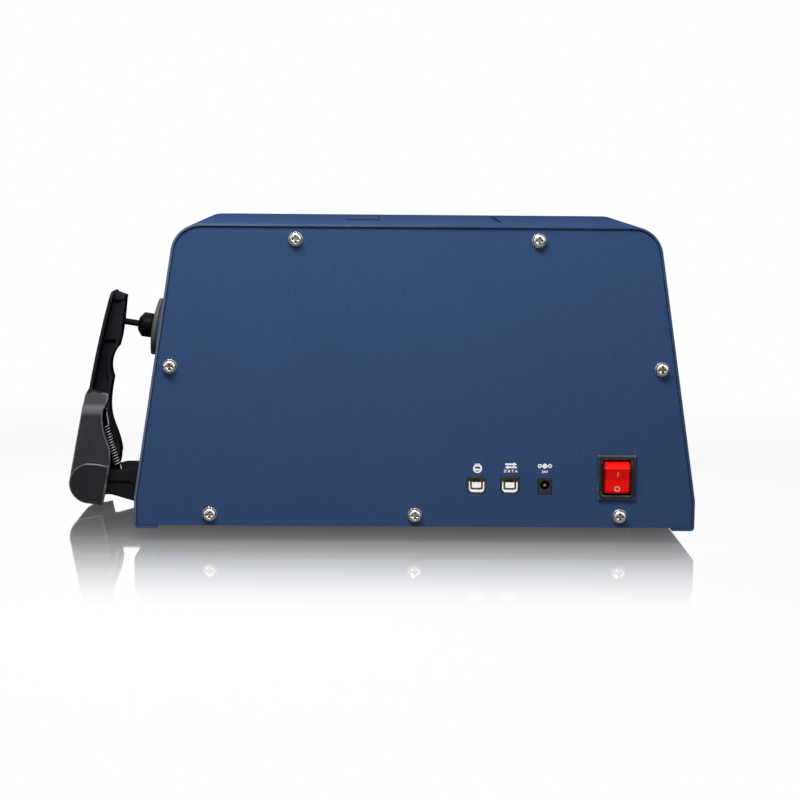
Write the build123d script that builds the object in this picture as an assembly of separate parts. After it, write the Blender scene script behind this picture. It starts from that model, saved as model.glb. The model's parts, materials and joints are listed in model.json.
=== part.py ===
"""A benchtop colorimeter: a wrapped sheet housing with an integrating sphere, a sample port on
its left side with a sprung clamp arm, a flush lid over the transmission chamber in its top, and
its switch and sockets on the rear panel.

Millimetres. X runs to the right as seen from the rear, Y from the rear panel to the sloped
front, and Z up from the bench. The pieces are placed about the middle of the housing, and saved
about the middle of the whole instrument's footprint, clamp and switch included.
"""
import os
from math import atan2, cos, degrees, hypot, pi, radians, sin, sqrt, tan

from build123d import *

# ---------------------------------------------------------------- driving dimensions
# Housing
CASE_WIDTH = 370.0          # across the skirts
CASE_DEPTH = 300.0
CASE_HEIGHT = 200.5         # of the wrap cover, without the feet
FOOT_HEIGHT = 9.0           # bench to the cover's lower edge
SHEET = 1.5                 # all folded sheet
SKIRT_HEIGHT = 20.3         # upright part of each side
SIDE_SLOPE = 8.73           # degrees that each side leans inward above the skirt
TOP_BEND = 20.0             # outer radii of the cover's folds
SKIRT_BEND = 8.0
HEM_BEND = 2.5
RETURN_FLANGE = 15.0        # turned in under the cover, along each side
TOP_DEPTH = 188.0           # level part of the top, from the rear
FRONT_LIP = 26.0            # upright part of the front
PANEL_INSET = 1.2           # rear and front panels stand back from the cover's edge
PANEL_SEAM = 0.4            # gap round each panel
REAR_FLANGE = 14.0          # folded ring behind the rear panel
BASE_UPTURN = 16.0          # front and rear walls of the base plate
BASE_CLEARANCE = 0.6        # base plate to skirt, each side

# Feet
FOOT_RADIUS = 11.0
FOOT_TAPER = 1.5            # smaller at the bench by this radius
FOOT_SPACING_X = 280.0
FOOT_SPACING_Y = 168.0
FOOT_RECESS = 4.0           # depth of the screw's pocket

# Screws
M4_RADIUS = 1.95
M4_HOLE = 2.2
M4_HEAD_RADIUS = 4.2
M4_HEAD_HEIGHT = 3.2
M4_LENGTH = 9.0
CROSS_WIDTH = 1.2           # of the driver slot, and its reach from the centre
CROSS_REACH = 2.5
CROSS_DEPTH = 1.6
WASHER_RADIUS = 4.7
WASHER_THICKNESS = 0.8
REAR_SCREWS_TOP = (79.0, 200.0)      # X either side, Z
REAR_SCREWS_SIDE = (161.0, 116.4)
REAR_SCREWS_LOW = (135.3, 18.6)      # and one more at the middle

# Clearances
FIT = 0.05                  # running fit on pins, each side
EASE = 0.3                  # between neighbours that don't run on each other

# Sockets on the rear panel
USB_X = (40.6, 62.6)
USB_Z = 38.65
USB_WIDTH = 12.0
USB_HEIGHT = 10.9
USB_CHAMFER = 2.4
USB_SHELL = 0.5
USB_DEPTH = 16.0
USB_TONGUE = (6.0, 3.5)
USB_TONGUE_LENGTH = 9.5
JACK_X = 85.6
JACK_Z = 39.0               # of its bore
JACK_WIDTH = 9.0
JACK_HEIGHT = 10.1
JACK_DEPTH = 14.0
JACK_BORE = 3.1
JACK_BORE_DEPTH = 9.5
JACK_PIN = 1.05
SOCKET_MARGIN = 0.35        # panel cut-out round each socket
IO_BOARD = (76.0, 42.0)     # width and depth
BOARD_THICKNESS = 1.6
STANDOFF_RADIUS = 3.0

# Rocker switch
SWITCH_X = 132.8
SWITCH_Z = 44.7
BEZEL_WIDTH = 25.6
BEZEL_HEIGHT = 30.2
BEZEL_PROUD = 2.0
BEZEL_CHAMFER = 0.8
SWITCH_BODY = (22.0, 27.4, 20.0)     # width, height, depth behind the panel
ROCKER_WIDTH = 18.3
ROCKER_LENGTH = 23.6        # of the opening it works in
ROCKER_SIDE_GAP = 0.3
ROCKER_PIVOT_DEPTH = 5.35   # behind the bezel's face
ROCKER_RADIUS = 11.5        # pivot to the rocker's two ridges
ROCKER_RIDGE = 43.7         # degrees from the middle to each ridge
ROCKER_END = 80.0           # degrees from the middle to the end of its curved ends
ROCKER_DISH = 1.0           # the face is hollow by this much at the middle
ROCKER_THROW = 9.6          # degrees either side of the middle
TRUNNION_RADIUS = 1.5
TRUNNION_LENGTH = 1.0

# Display on the sloped front
BEZEL_SIZE = (190.0, 126.0)
BEZEL_THICKNESS = 3.0
GLASS_SIZE = (166.0, 104.0)
GLASS_THICKNESS = 1.6
GLASS_CORNER = 3.0
GLASS_LEDGE = 4.0
LCD_DEPTH = 5.0
LCD_MARGIN = 5.0            # the module laps the panel's cut-out
DISPLAY_UP = 112.0          # up the slope, from the lip to the display's middle

# Sample port and integrating sphere
CLAMP_BACK = 140.0          # rear of the housing to the plane of the port and the clamp
PORT_Z = 127.5
PORT_RADIUS = 12.7          # one inch aperture
PORT_PROUD = 12.5
PORT_TUBE = 18.0            # outer radii of the port ring
PORT_COLLAR = 22.0
PORT_COLLAR_LENGTH = 11.0
MASK_RADIUS = 16.5
MASK_THICKNESS = 2.5
SPHERE_RADIUS = 63.0
SPHERE_WALL = 3.0
SPHERE_GAP = 3.0            # sphere to the housing's inner face
SPHERE_FLANGE = 7.0
FLANGE_THICKNESS = 3.0
FLANGE_BOLTS = 8
BOLT_RADIUS = 1.2
BOLT_HEAD = (2.2, 2.0)
CRADLE_WIDTH = 36.0
CRADLE_LENGTH = 84.0
CRADLE_DROP = 40.0          # sphere's centre down to the cradle's top
CRADLE_ARCH = 11.0
EXIT_TUBE = (12.0, 10.0)    # outer and inner radius
LAMP_RADIUS = 13.0
LAMP_LENGTH = 24.0
LAMP_TILT = 40.0            # degrees from upright

# Transmission chamber, its lid and hinge
LID_RIGHT = 58.0
LID_WIDTH = 82.5
LID_LENGTH = 120.0
LID_BACK = 60.0             # rear of the housing to the lid
LID_SEAM = 0.5
LID_THICKNESS = 3.0
LID_SKIRT = 2.0
LID_GRIP = 8.0              # the lid laps past its skirt here, for the fingers
HINGE_RADIUS = 3.4          # rounded hinge edge of the lid
HINGE_PIN = 1.2
HINGE_PIN_LENGTH = 4.2      # beyond the lid
LID_TRAVEL = 95.0
LINER_WALL = 2.5
LINER_DROP = 9.6            # top of the cover to the liner's flange
LINER_MARGIN = 2.2          # upstand outside the lid's seam
CHAMBER_INSET = 6.0         # chamber's wall inside the lid's left edge
CHAMBER_DEPTH = 108.0       # below the liner's flange
CHAMBER_CORNER = 6.0
CUP_WIDTH = 20.0
CUP_LENGTH = 24.5
CUP_BACK = 89.0             # rear of the housing to the cup's middle
CUP_WALL = 1.5

# Spectrometer, boards
BOX_SIZE = (76.0, 100.0, 62.0)
BOX_INSET = 33.0            # to the outside of the skirt
BOX_WALL = 3.0
BOX_FLOOR_Z = 60.0
PILLAR_RADIUS = 5.0
PILLAR_INSET = 9.0
BARREL = (14.0, 11.0)
LENS_THICKNESS = 4.0
MAIN_BOARD_WIDTH = 130.0
MAIN_BOARD_GAP = 10.0       # to the spectrometer
DRIVER_BOARD_WIDTH = 100.0
DRIVER_BOARD_GAP = 6.0      # to the sphere's flange
BOARD_SIDE = 35.0           # boards to the outside of the skirt
BOARD_FRONT = 25.0          # boards to the front of the housing
BOARD_HEIGHT = 25.0         # bench to the underside of the boards
CAPACITOR = (11.0, 40.0)
CAPACITOR_SPACING = 36.0
BOARD_EDGE = 5.0

# Clamp
PIVOT_OUT = 45.0            # skirt to pivot
PIVOT_Z = 19.5
PIVOT_PIN = 3.0
HUB_RADIUS = 9.0
BRACKET_WIDTH = 45.0
BRACKET_TOP = 8.6           # flat top above the pivot
BRACKET_WAIST = 6.7         # top between the hub and the flat part
BRACKET_STEP = 1.6          # the lower part is narrower by this on each side
BRACKET_FOOT = 5.0          # bench to the bracket's underside
BRACKET_REACH = 39.0        # in under the housing
BRACKET_SCREW_Y = 12.0
END_RADIUS = 14.7           # round lower end of the arm
CHEEK_WIDTH = 58.0          # over the arm's cheeks
CHEEK_THICKNESS = 3.5
CAP_THICKNESS = 1.4
SHOULDER_WIDTH = 45.0       # over the arm's back at the shoulder
ARM_TOP_WIDTH = 34.0
ARM_TOP_CORNER = 8.0         # radius of the upper corners, seen along X
CROWN_WIDTH = 20.0
FLARE = 14.0                # height over which the cheeks widen below the shoulder
ARM_SKIN = 2.5
WEB_THICKNESS = 10.0
PAD_THICKNESS = 15.0        # upper part of the web, round the rod's socket
PAD_HEIGHT = 101.0          # pivot to the pad's lower edge
RIM_THICKNESS = 18.0
RIM_DEPTH = 2.6
CLAMP_TRAVEL = 70.0

# Side view of the arm: X and Z from the pivot
ARM_TOP = (14.6, 135.8)     # upper end of the back
ARM_MIDDLE = (5.4, 98.0)
ARM_SHOULDER = (-0.6, 67.5)
CROWN = ((0.0, -1.4), (0.3, 0.2), (2.3, 0.2), (2.9, -1.4), (9.7, -3.2), (9.4, -5.8), (1.4, -5.8))  # from the top
FINGER_EDGE = ((24.2, 132.2), (22.5, 115.2), (20.6, 103.2), (18.7, 96.0))
FINGER_HOLLOW = ((18.7, 96.0), (15.4, 91.6), (12.9, 81.0), (14.5, 73.5))
PALM_EDGE = ((14.5, 73.5), (12.7, 63.0), (12.2, 48.0), (13.1, 43.2), (16.0, 34.7), (18.8, 25.6), (18.1, 10.0))
CHEEK_CORNER = (9.0, -16.6)
CHEEK_EDGE = (
    CHEEK_CORNER, (11.2, -6.5), (14.4, 11.8), (14.6, 24.0), (12.2, 31.5), (9.6, 44.0), (10.7, 54.0),
    (13.3, 60.2), (13.4, 62.6), (11.6, 64.0),
)
FRONT_CHEEK_EDGE = (        # set back further than the rear one
    CHEEK_CORNER, (11.2, -6.5), (14.4, 11.8), (13.9, 22.0), (10.6, 31.5), (6.8, 44.0), (6.0, 54.0),
    (6.8, 60.2), (7.2, 62.6), (6.2, 64.0),
)
SPRING_TROUGH = ((6.0, 3.5), (6.0, 10.0), (28.5, 10.0), (26.0, 3.5))
CAP_EDGE = ((8.8, -16.3), (10.8, -6.5), (14.1, 12.5), (4.0, 14.4))
ROD_RADIUS = 2.3
ROD_SOCKET = 9.0            # rod's length inside the arm
ROD_REACH = 10.2            # between the arm and the collar
COLLAR_RADIUS = 8.8
COLLAR_FACE = 4.6
COLLAR_LENGTH = 9.9
COLLAR_CHAMFER = 3.2
COLLAR_BORE = 6.5
DISC_RADIUS = 20.5
DISC_THICKNESS = 5.0
DISC_RIM = 2.6              # thickness at its edge; the outer face is domed

# Extension spring
SPRING_WIRE = 0.42
SPRING_COIL = 1.9           # mean radius
SPRING_TURNS = 15
SPRING_COIL_START = 5.0     # from the anchor, along the spring
SPRING_COIL_LENGTH = 29.9
SPRING_ANCHOR = (19.4, 5.6)         # X and Z from the pivot
SPRING_PEG = (8.4, 50.3)
SPRING_OFFSET = 12.5        # toward the rear of the clamp's plane
ANCHOR_PIN = 1.2
PEG_RADIUS = 1.5
SPRING_SLOT = 5.6

# ---------------------------------------------------------------- worked-out values
SLOPE = radians(SIDE_SLOPE)
COVER_BASE = FOOT_HEIGHT
COVER_TOP = FOOT_HEIGHT + CASE_HEIGHT
BEND_Z = COVER_BASE + SKIRT_HEIGHT
HALF_WIDTH = CASE_WIDTH / 2
REAR = -CASE_DEPTH / 2
FRONT = CASE_DEPTH / 2
CLAMP_Y = REAR + CLAMP_BACK
PIVOT_X = -HALF_WIDTH - PIVOT_OUT
TOP_FRONT = REAR + TOP_DEPTH
LIP_Z = COVER_BASE + FRONT_LIP
FRONT_SLOPE = atan2(COVER_TOP - LIP_Z, FRONT - TOP_FRONT)
FRONT_NORMAL = (0.0, sin(FRONT_SLOPE), cos(FRONT_SLOPE))
PANEL_FACE = REAR + PANEL_INSET
PANEL_BACK = PANEL_FACE + SHEET
FLOOR = COVER_BASE + SHEET           # underside of the base plate
DECK = FLOOR + SHEET                 # its upper face
UNDER_TOP = COVER_TOP - SHEET


def side_x(z):
    """Half width of the cover's outer face at height z."""
    return HALF_WIDTH - max(0.0, z - BEND_Z) * tan(SLOPE)


PORT_X = -side_x(PORT_Z)
OUTWARD = Vector(-cos(SLOPE), 0, sin(SLOPE))
INWARD = OUTWARD * -1
PORT = Vector(PORT_X, CLAMP_Y, PORT_Z)
SPHERE = PORT + INWARD * (SPHERE_RADIUS + SPHERE_GAP + SHEET)
DISC_START = PORT_PROUD + EASE
COLLAR_START = DISC_START + DISC_THICKNESS
COLLAR_END = COLLAR_START + COLLAR_LENGTH
LID_LEFT = LID_RIGHT - LID_WIDTH
LID_REAR = REAR + LID_BACK
LID_FRONT = LID_REAR + LID_LENGTH
CUP_LEFT = LID_LEFT - CUP_LENGTH
CUP_Y = REAR + CUP_BACK
HINGE_X = LID_RIGHT - HINGE_RADIUS
HINGE_Z = COVER_TOP - HINGE_RADIUS
LINER_FLANGE_TOP = COVER_TOP - LINER_DROP
BOX_LEFT = HALF_WIDTH - BOX_INSET - BOX_SIZE[0]
MAIN_BOARD_RIGHT = HALF_WIDTH - BOARD_SIDE
DRIVER_BOARD_LEFT = -MAIN_BOARD_RIGHT
BOARDS_FRONT = FRONT - BOARD_FRONT
MAIN_BOARD = (MAIN_BOARD_RIGHT - MAIN_BOARD_WIDTH, MAIN_BOARD_RIGHT,
              CLAMP_Y + BOX_SIZE[1] / 2 + MAIN_BOARD_GAP, BOARDS_FRONT, BOARD_HEIGHT)
DRIVER_BOARD = (DRIVER_BOARD_LEFT, DRIVER_BOARD_LEFT + DRIVER_BOARD_WIDTH,
                CLAMP_Y + SPHERE_RADIUS + SPHERE_FLANGE + DRIVER_BOARD_GAP, BOARDS_FRONT, BOARD_HEIGHT)
BOARD_TOP = USB_Z - USB_HEIGHT / 2
SWITCH_FACE = PANEL_FACE - BEZEL_PROUD
ROCKER_PIVOT_Y = SWITCH_FACE + ROCKER_PIVOT_DEPTH
ROCKER_OUT = ROCKER_RADIUS * cos(radians(ROCKER_RIDGE - ROCKER_THROW)) - ROCKER_PIVOT_DEPTH
REAR_MOST = SWITCH_FACE - ROCKER_OUT
ORIGIN = Vector((PIVOT_X - END_RADIUS + HALF_WIDTH) / 2, (REAR_MOST + FRONT) / 2, 0)
SPRING_Y = CLAMP_Y - SPRING_OFFSET
CHEEK_FACE = CHEEK_WIDTH / 2


# ---------------------------------------------------------------- helpers
def block(x0, x1, y0, y1, z0, z1):
    """A box between two corners."""
    low = Vector(min(x0, x1), min(y0, y1), min(z0, z1))
    size = Vector(abs(x1 - x0), abs(y1 - y0), abs(z1 - z0))
    return Pos(low) * Box(size.X, size.Y, size.Z, align=Align.MIN)


def rod(start, direction, radius, length):
    """A cylinder that runs from a point along a direction."""
    axis = Plane(origin=start, z_dir=direction)
    return axis * Cylinder(radius, length, align=(Align.CENTER, Align.CENTER, Align.MIN))


def pin_y(x, z, y0, y1, radius):
    """A cylinder across the instrument, from y0 to y1."""
    return rod((x, y0, z), (0, 1, 0), radius, y1 - y0)


def outline(points, radii=0.0):
    """A closed face from corner points, with a fillet radius for all or for each."""
    if isinstance(radii, (int, float)):
        radii = [radii] * len(points)
    return make_face(FilletPolyline(*points, radius=radii, close=True))


def prism_y(face, y0, y1):
    """An XZ face carried from y0 to y1."""
    return extrude(Plane.XZ.offset(-y1) * face, y1 - y0)


def prism_x(face, x0, x1):
    """A YZ face carried from x0 to x1."""
    return extrude(Plane.YZ.offset(x0) * face, x1 - x0)


def turned(points, start, direction):
    """A profile of (radius, height) points, turned about an axis from a point."""
    profile = Plane.XZ * make_face(Polyline(*points, close=True))
    return Plane(origin=start, z_dir=direction) * revolve(profile, Axis.Z)


def pan_screw(start, direction, length):
    """A pan-head cross-recess screw, its head's seat at start and its shank along direction."""
    axis = Plane(origin=start, z_dir=direction)
    low = (Align.CENTER, Align.CENTER, Align.MAX)
    head = Cylinder(M4_HEAD_RADIUS, M4_HEAD_HEIGHT, align=low)
    head = fillet(head.edges().sort_by(Axis.Z)[0], M4_HEAD_HEIGHT * 0.55)
    shank = Cylinder(M4_RADIUS, length, align=(Align.CENTER, Align.CENTER, Align.MIN))
    cross = Pos(0, 0, -M4_HEAD_HEIGHT + CROSS_DEPTH / 2) * (
        Box(2 * CROSS_REACH, CROSS_WIDTH, CROSS_DEPTH) + Box(CROSS_WIDTH, 2 * CROSS_REACH, CROSS_DEPTH)
    )
    return axis * (head + shank - cross)


def save(name, *solids):
    """Write one node, moved to the instrument's own origin."""
    moved = [Pos(-ORIGIN) * solid for solid in solids]
    shape = moved[0] if len(moved) == 1 else Compound(children=moved)
    shape.label = name
    export_step(shape, os.path.join("parts", name + ".step"))


# ---------------------------------------------------------------- housing
def cover_section(inset):
    """The cover's cross-section, drawn in by inset all round."""
    lean = inset / cos(SLOPE)
    bend = BEND_Z - (lean - inset) / tan(SLOPE)
    top = COVER_TOP - inset
    skirt = HALF_WIDTH - inset
    shoulder = HALF_WIDTH - (top - BEND_Z) * tan(SLOPE) - lean
    right = [(skirt, COVER_BASE + inset), (skirt, bend), (shoulder, top)]
    left = [(-x, z) for x, z in reversed(right)]
    radii = [max(HEM_BEND - inset, 0.3), SKIRT_BEND, TOP_BEND - inset]
    return outline(right + left, radii + radii[::-1])


def front_line(inset, height):
    """Y of the sloped front at a height, set in by inset."""
    _, across, up = FRONT_NORMAL
    return FRONT - (inset + (height - LIP_Z) * up) / across


def front_corner(inset):
    """Height at which the upright lip meets the slope, set in by inset."""
    _, across, up = FRONT_NORMAL
    return LIP_Z - inset * (1 - across) / up


def chamber_opening(margin):
    """Plan of the lid's opening, with the finger notch, as an XY face."""
    width = LID_RIGHT - LID_LEFT + 2 * margin
    length = LID_FRONT - LID_REAR + 2 * margin
    middle = ((LID_LEFT + LID_RIGHT) / 2, (LID_REAR + LID_FRONT) / 2)
    return Pos(*middle) * Rectangle(width, length)


def finger_notch(margin):
    """Plan of the finger notch beside the lid, as an XY face."""
    half = CUP_WIDTH / 2 + margin
    points = [
        (LID_LEFT, CUP_Y - half), (LID_LEFT, CUP_Y + half),
        (CUP_LEFT - margin, CUP_Y + half), (CUP_LEFT - margin, CUP_Y - half),
    ]
    return outline(points, [0, 0, half * 0.6, half * 0.6])


def wrap_cover():
    """Top and sides in one folded sheet, with the hem flanges and the ring behind the panel."""
    body = prism_y(cover_section(0), REAR, FRONT) - prism_y(cover_section(SHEET), REAR, FRONT)
    gap = HALF_WIDTH - RETURN_FLANGE
    body -= block(-gap, gap, REAR, FRONT, COVER_BASE, FLOOR)
    above = COVER_TOP + SHEET
    body -= prism_x(outline([
        (FRONT, LIP_Z), (TOP_FRONT, COVER_TOP), (TOP_FRONT, above), (FRONT + SHEET, above),
        (FRONT + SHEET, LIP_Z),
    ]), -CASE_WIDTH, CASE_WIDTH)
    ring = prism_y(cover_section(SHEET / 2) - cover_section(REAR_FLANGE), PANEL_BACK, PANEL_BACK + SHEET)
    ring &= block(-HALF_WIDTH, HALF_WIDTH, REAR, 0, BEND_Z + SHEET, COVER_TOP)
    body += ring
    for x, z in screw_spots():
        if z > BEND_Z:
            body -= pin_y(x, z, PANEL_BACK - 1, PANEL_BACK + SHEET + 1, M4_HOLE)
    opening = chamber_opening(LID_SEAM) + finger_notch(0)
    body -= extrude(Pos(0, 0, UNDER_TOP - 1) * opening, SHEET + 2)
    body -= rod(PORT + INWARD * 2 * SHEET, OUTWARD, PORT_TUBE + EASE, 4 * SHEET)
    return body


def screw_spots():
    """X and Z of the seven screws on the rear panel."""
    spots = []
    for x, z in (REAR_SCREWS_TOP, REAR_SCREWS_SIDE, REAR_SCREWS_LOW):
        spots += [(-x, z), (x, z)]
    return spots + [(0.0, REAR_SCREWS_LOW[1])]


def foot_spots():
    """X and Y of the four feet."""
    return [(i * FOOT_SPACING_X / 2, j * FOOT_SPACING_Y / 2) for i in (-1, 1) for j in (-1, 1)]


def bracket_spots():
    """X and Y of the two screws that hold the clamp's bracket."""
    x = -HALF_WIDTH + (RETURN_FLANGE + BRACKET_REACH) / 2
    return [(x, CLAMP_Y + i * BRACKET_SCREW_Y) for i in (-1, 1)]


def base_plate():
    """The floor, folded up at front and rear, that lies on the cover's hem flanges."""
    rear, front, top = PANEL_BACK, -PANEL_BACK, FLOOR + BASE_UPTURN
    inner_rear, inner_front = rear + SHEET, front - SHEET
    tray = outline(
        [(rear, FLOOR), (front, FLOOR), (front, top), (inner_front, top), (inner_front, DECK),
         (inner_rear, DECK), (inner_rear, top), (rear, top)],
        [SHEET * 1.5, SHEET * 1.5, 0, 0, SHEET / 2, SHEET / 2, 0, 0],
    )
    reach = HALF_WIDTH - SHEET - BASE_CLEARANCE
    plate = prism_x(tray, -reach, reach)
    for x, y in foot_spots() + bracket_spots():
        plate -= rod((x, y, FLOOR - 1), (0, 0, 1), M4_HOLE, SHEET + 2)
    for x, z in screw_spots():
        if z < BEND_Z:
            plate -= pin_y(x, z, rear - 1, rear + SHEET + 1, M4_HOLE)
    return plate


def usb_outline(margin):
    """Type B socket outline with its two lower corners cut off, as an XZ face."""
    half = USB_WIDTH / 2 + margin
    top = USB_HEIGHT / 2 + margin
    low = top - USB_CHAMFER
    side = half - USB_CHAMFER
    return outline([(-side, -top), (side, -top), (half, -low), (half, top), (-half, top), (-half, -low)])


def rear_panel():
    """The rear panel with its holes for screws, sockets and switch."""
    panel = prism_y(cover_section(SHEET + PANEL_SEAM), PANEL_FACE, PANEL_BACK)
    through = (PANEL_FACE - 1, PANEL_BACK + 1)
    for x, z in screw_spots():
        panel -= pin_y(x, z, *through, M4_HOLE)
    for x in USB_X:
        panel -= prism_y(Pos(x, USB_Z) * usb_outline(SOCKET_MARGIN), *through)
    wide = JACK_WIDTH / 2 + SOCKET_MARGIN
    low, high = BOARD_TOP - SOCKET_MARGIN, BOARD_TOP + JACK_HEIGHT + SOCKET_MARGIN
    panel -= block(JACK_X - wide, JACK_X + wide, *through, low, high)
    width, height, _ = SWITCH_BODY
    wide, high = width / 2 + EASE, height / 2 + EASE
    panel -= block(SWITCH_X - wide, SWITCH_X + wide, *through, SWITCH_Z - high, SWITCH_Z + high)
    return panel


def rear_panel_screws():
    """Seven pan-head screws that seat on their washers."""
    seat = PANEL_FACE - WASHER_THICKNESS
    return [pan_screw((x, seat, z), (0, 1, 0), M4_LENGTH) for x, z in screw_spots()]


def rear_panel_washers():
    """Plain washers under the screws of the rear panel."""
    seat = PANEL_FACE - WASHER_THICKNESS
    return [pin_y(x, z, seat, PANEL_FACE, WASHER_RADIUS) - pin_y(x, z, seat, PANEL_FACE, M4_HOLE)
            for x, z in screw_spots()]


def slope_plane(inset):
    """A plane on the sloped front, set in by inset, with its middle at the display's."""
    _, across, up = FRONT_NORMAL
    y = FRONT - DISPLAY_UP * up - inset * across
    z = LIP_Z + DISPLAY_UP * across - inset * up
    return Plane(origin=(0, y, z), x_dir=(1, 0, 0), z_dir=FRONT_NORMAL)


def front_panel():
    """The bent front panel with the cut-out for the display."""
    outer, inner = PANEL_INSET, PANEL_INSET + SHEET
    top, low = COVER_TOP, COVER_BASE
    bent = outline([
        (FRONT - outer, low), (FRONT - outer, front_corner(outer)), (front_line(outer, top), top),
        (front_line(inner, top), top), (FRONT - inner, front_corner(inner)), (FRONT - inner, low),
    ])
    panel = prism_x(bent, -HALF_WIDTH, HALF_WIDTH)
    panel &= prism_y(cover_section(SHEET + PANEL_SEAM), 0, FRONT)
    width, height = (size - 2 * GLASS_LEDGE + 2 * EASE for size in GLASS_SIZE)
    return panel - slope_plane(outer) * Box(width, height, 4 * SHEET)


def plate_on_slope(inset, width, height, thickness, corner):
    """A rounded plate that lies on the slope at an inset and rises outward."""
    return extrude(slope_plane(inset) * RectangleRounded(width, height, corner), thickness)


def display_bezel():
    """The moulded frame on the front panel, with a ledge that carries the glass."""
    width, height = BEZEL_SIZE
    frame = plate_on_slope(PANEL_INSET, width, height, BEZEL_THICKNESS, 8.0)
    frame = chamfer(frame.faces().sort_by(Axis((0, 0, 0), FRONT_NORMAL))[-1].edges(), 1.0)
    glass_w, glass_h = (size + 2 * FIT for size in GLASS_SIZE)
    ledge = BEZEL_THICKNESS - GLASS_THICKNESS - 0.2
    frame -= plate_on_slope(PANEL_INSET - ledge, glass_w, glass_h, BEZEL_THICKNESS, GLASS_CORNER)
    window_w, window_h = (size - 2 * GLASS_LEDGE for size in GLASS_SIZE)
    return frame - slope_plane(PANEL_INSET) * Box(window_w, window_h, 4 * BEZEL_THICKNESS)


def touch_glass():
    """Cover glass of the touch display."""
    ledge = BEZEL_THICKNESS - GLASS_THICKNESS - 0.2
    return plate_on_slope(PANEL_INSET - ledge, *GLASS_SIZE, GLASS_THICKNESS, GLASS_CORNER)


def display_module():
    """Display module: its front fills the window, its back laps the panel."""
    ledge = BEZEL_THICKNESS - GLASS_THICKNESS - 0.2
    front_w, front_h = (size - 2 * GLASS_LEDGE - 2 * EASE for size in GLASS_SIZE)
    inner = PANEL_INSET + SHEET
    module = plate_on_slope(inner, front_w, front_h, SHEET + ledge, 1.0)
    back_w, back_h = front_w + 2 * LCD_MARGIN, front_h + 2 * LCD_MARGIN
    return module + plate_on_slope(inner + LCD_DEPTH, back_w, back_h, LCD_DEPTH, 2.0)


def rubber_feet():
    """Four tapered feet with a pocket for the screw."""
    feet = []
    for x, y in foot_spots():
        foot = turned([
            (M4_HOLE, FLOOR), (FOOT_RADIUS, FLOOR), (FOOT_RADIUS, FLOOR - 2), (FOOT_RADIUS - FOOT_TAPER, 0),
            (M4_HEAD_RADIUS + 1, 0), (M4_HEAD_RADIUS + 1, FOOT_RECESS), (M4_HOLE, FOOT_RECESS),
        ], (x, y, 0), (0, 0, 1))
        feet.append(foot)
    return feet


def foot_screws():
    """Screws that hold the feet to the base plate."""
    length = DECK + 2 - FOOT_RECESS
    return [pan_screw((x, y, FOOT_RECESS), (0, 0, 1), length) for x, y in foot_spots()]


# ---------------------------------------------------------------- switch and sockets
def power_switch_housing():
    """Bezel and body of the rocker switch, with the bores for the rocker's trunnions."""
    width, height, depth = SWITCH_BODY
    bezel = Pos(SWITCH_X, SWITCH_FACE + BEZEL_PROUD / 2, SWITCH_Z) * Box(BEZEL_WIDTH, BEZEL_PROUD, BEZEL_HEIGHT)
    bezel = chamfer(bezel.faces().sort_by(Axis.Y)[0].edges(), BEZEL_CHAMFER)
    body = bezel + Pos(SWITCH_X, PANEL_FACE + depth / 2, SWITCH_Z) * Box(width, depth, height)
    half = ROCKER_WIDTH / 2 + ROCKER_SIDE_GAP
    reach = ROCKER_LENGTH / 2
    floor = ROCKER_PIVOT_Y + ROCKER_PIVOT_DEPTH
    body -= block(SWITCH_X - half, SWITCH_X + half, REAR_MOST, floor, SWITCH_Z - reach, SWITCH_Z + reach)
    span = ROCKER_WIDTH / 2 + TRUNNION_LENGTH + EASE
    bore = rod((SWITCH_X - span, ROCKER_PIVOT_Y, SWITCH_Z), (1, 0, 0), TRUNNION_RADIUS + FIT, 2 * span)
    return body - bore


def power_switch_rocker():
    """The rocker, with a hollow face, ends turned about the pivot, and its lower side pressed."""
    def spot(angle, radius=ROCKER_RADIUS):
        return (-radius * cos(radians(angle)), radius * sin(radians(angle)))

    middle = ROCKER_RADIUS * cos(radians(ROCKER_RIDGE)) - ROCKER_DISH
    half_way = (ROCKER_RIDGE + ROCKER_END) / 2
    root = ROCKER_RADIUS / 2
    face = Polyline(spot(-ROCKER_RIDGE), (-middle, 0), spot(ROCKER_RIDGE))
    upper = ThreePointArc(spot(ROCKER_RIDGE), spot(half_way), spot(ROCKER_END))
    lower = ThreePointArc(spot(-ROCKER_END), spot(-half_way), spot(-ROCKER_RIDGE))
    back = Polyline(spot(ROCKER_END), (TRUNNION_RADIUS, root), (TRUNNION_RADIUS, -root), spot(-ROCKER_END))
    section = Rot(0, 0, ROCKER_THROW) * make_face(face + upper + lower + back)
    x0 = SWITCH_X - ROCKER_WIDTH / 2
    rocker = prism_x(Pos(ROCKER_PIVOT_Y, SWITCH_Z) * section, x0, x0 + ROCKER_WIDTH)
    reach = ROCKER_WIDTH / 2 + TRUNNION_LENGTH
    return rocker + rod((SWITCH_X - reach, ROCKER_PIVOT_Y, SWITCH_Z), (1, 0, 0), TRUNNION_RADIUS, 2 * reach)


def power_switch_terminals():
    """Four blade terminals behind the switch."""
    start = PANEL_FACE + SWITCH_BODY[2]
    return [block(SWITCH_X + i * 5.5 - 0.4, SWITCH_X + i * 5.5 + 0.4, start, start + 9,
                  SWITCH_Z + j * 7 - 2.4, SWITCH_Z + j * 7 + 2.4) for i in (-1, 1) for j in (-1, 1)]


def usb_socket_shells():
    """Bent metal shells of the two sockets."""
    face = usb_outline(0) - usb_outline(-USB_SHELL)
    return [prism_y(Pos(x, USB_Z) * face, PANEL_FACE + 0.2, PANEL_FACE + USB_DEPTH) for x in USB_X]


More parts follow.
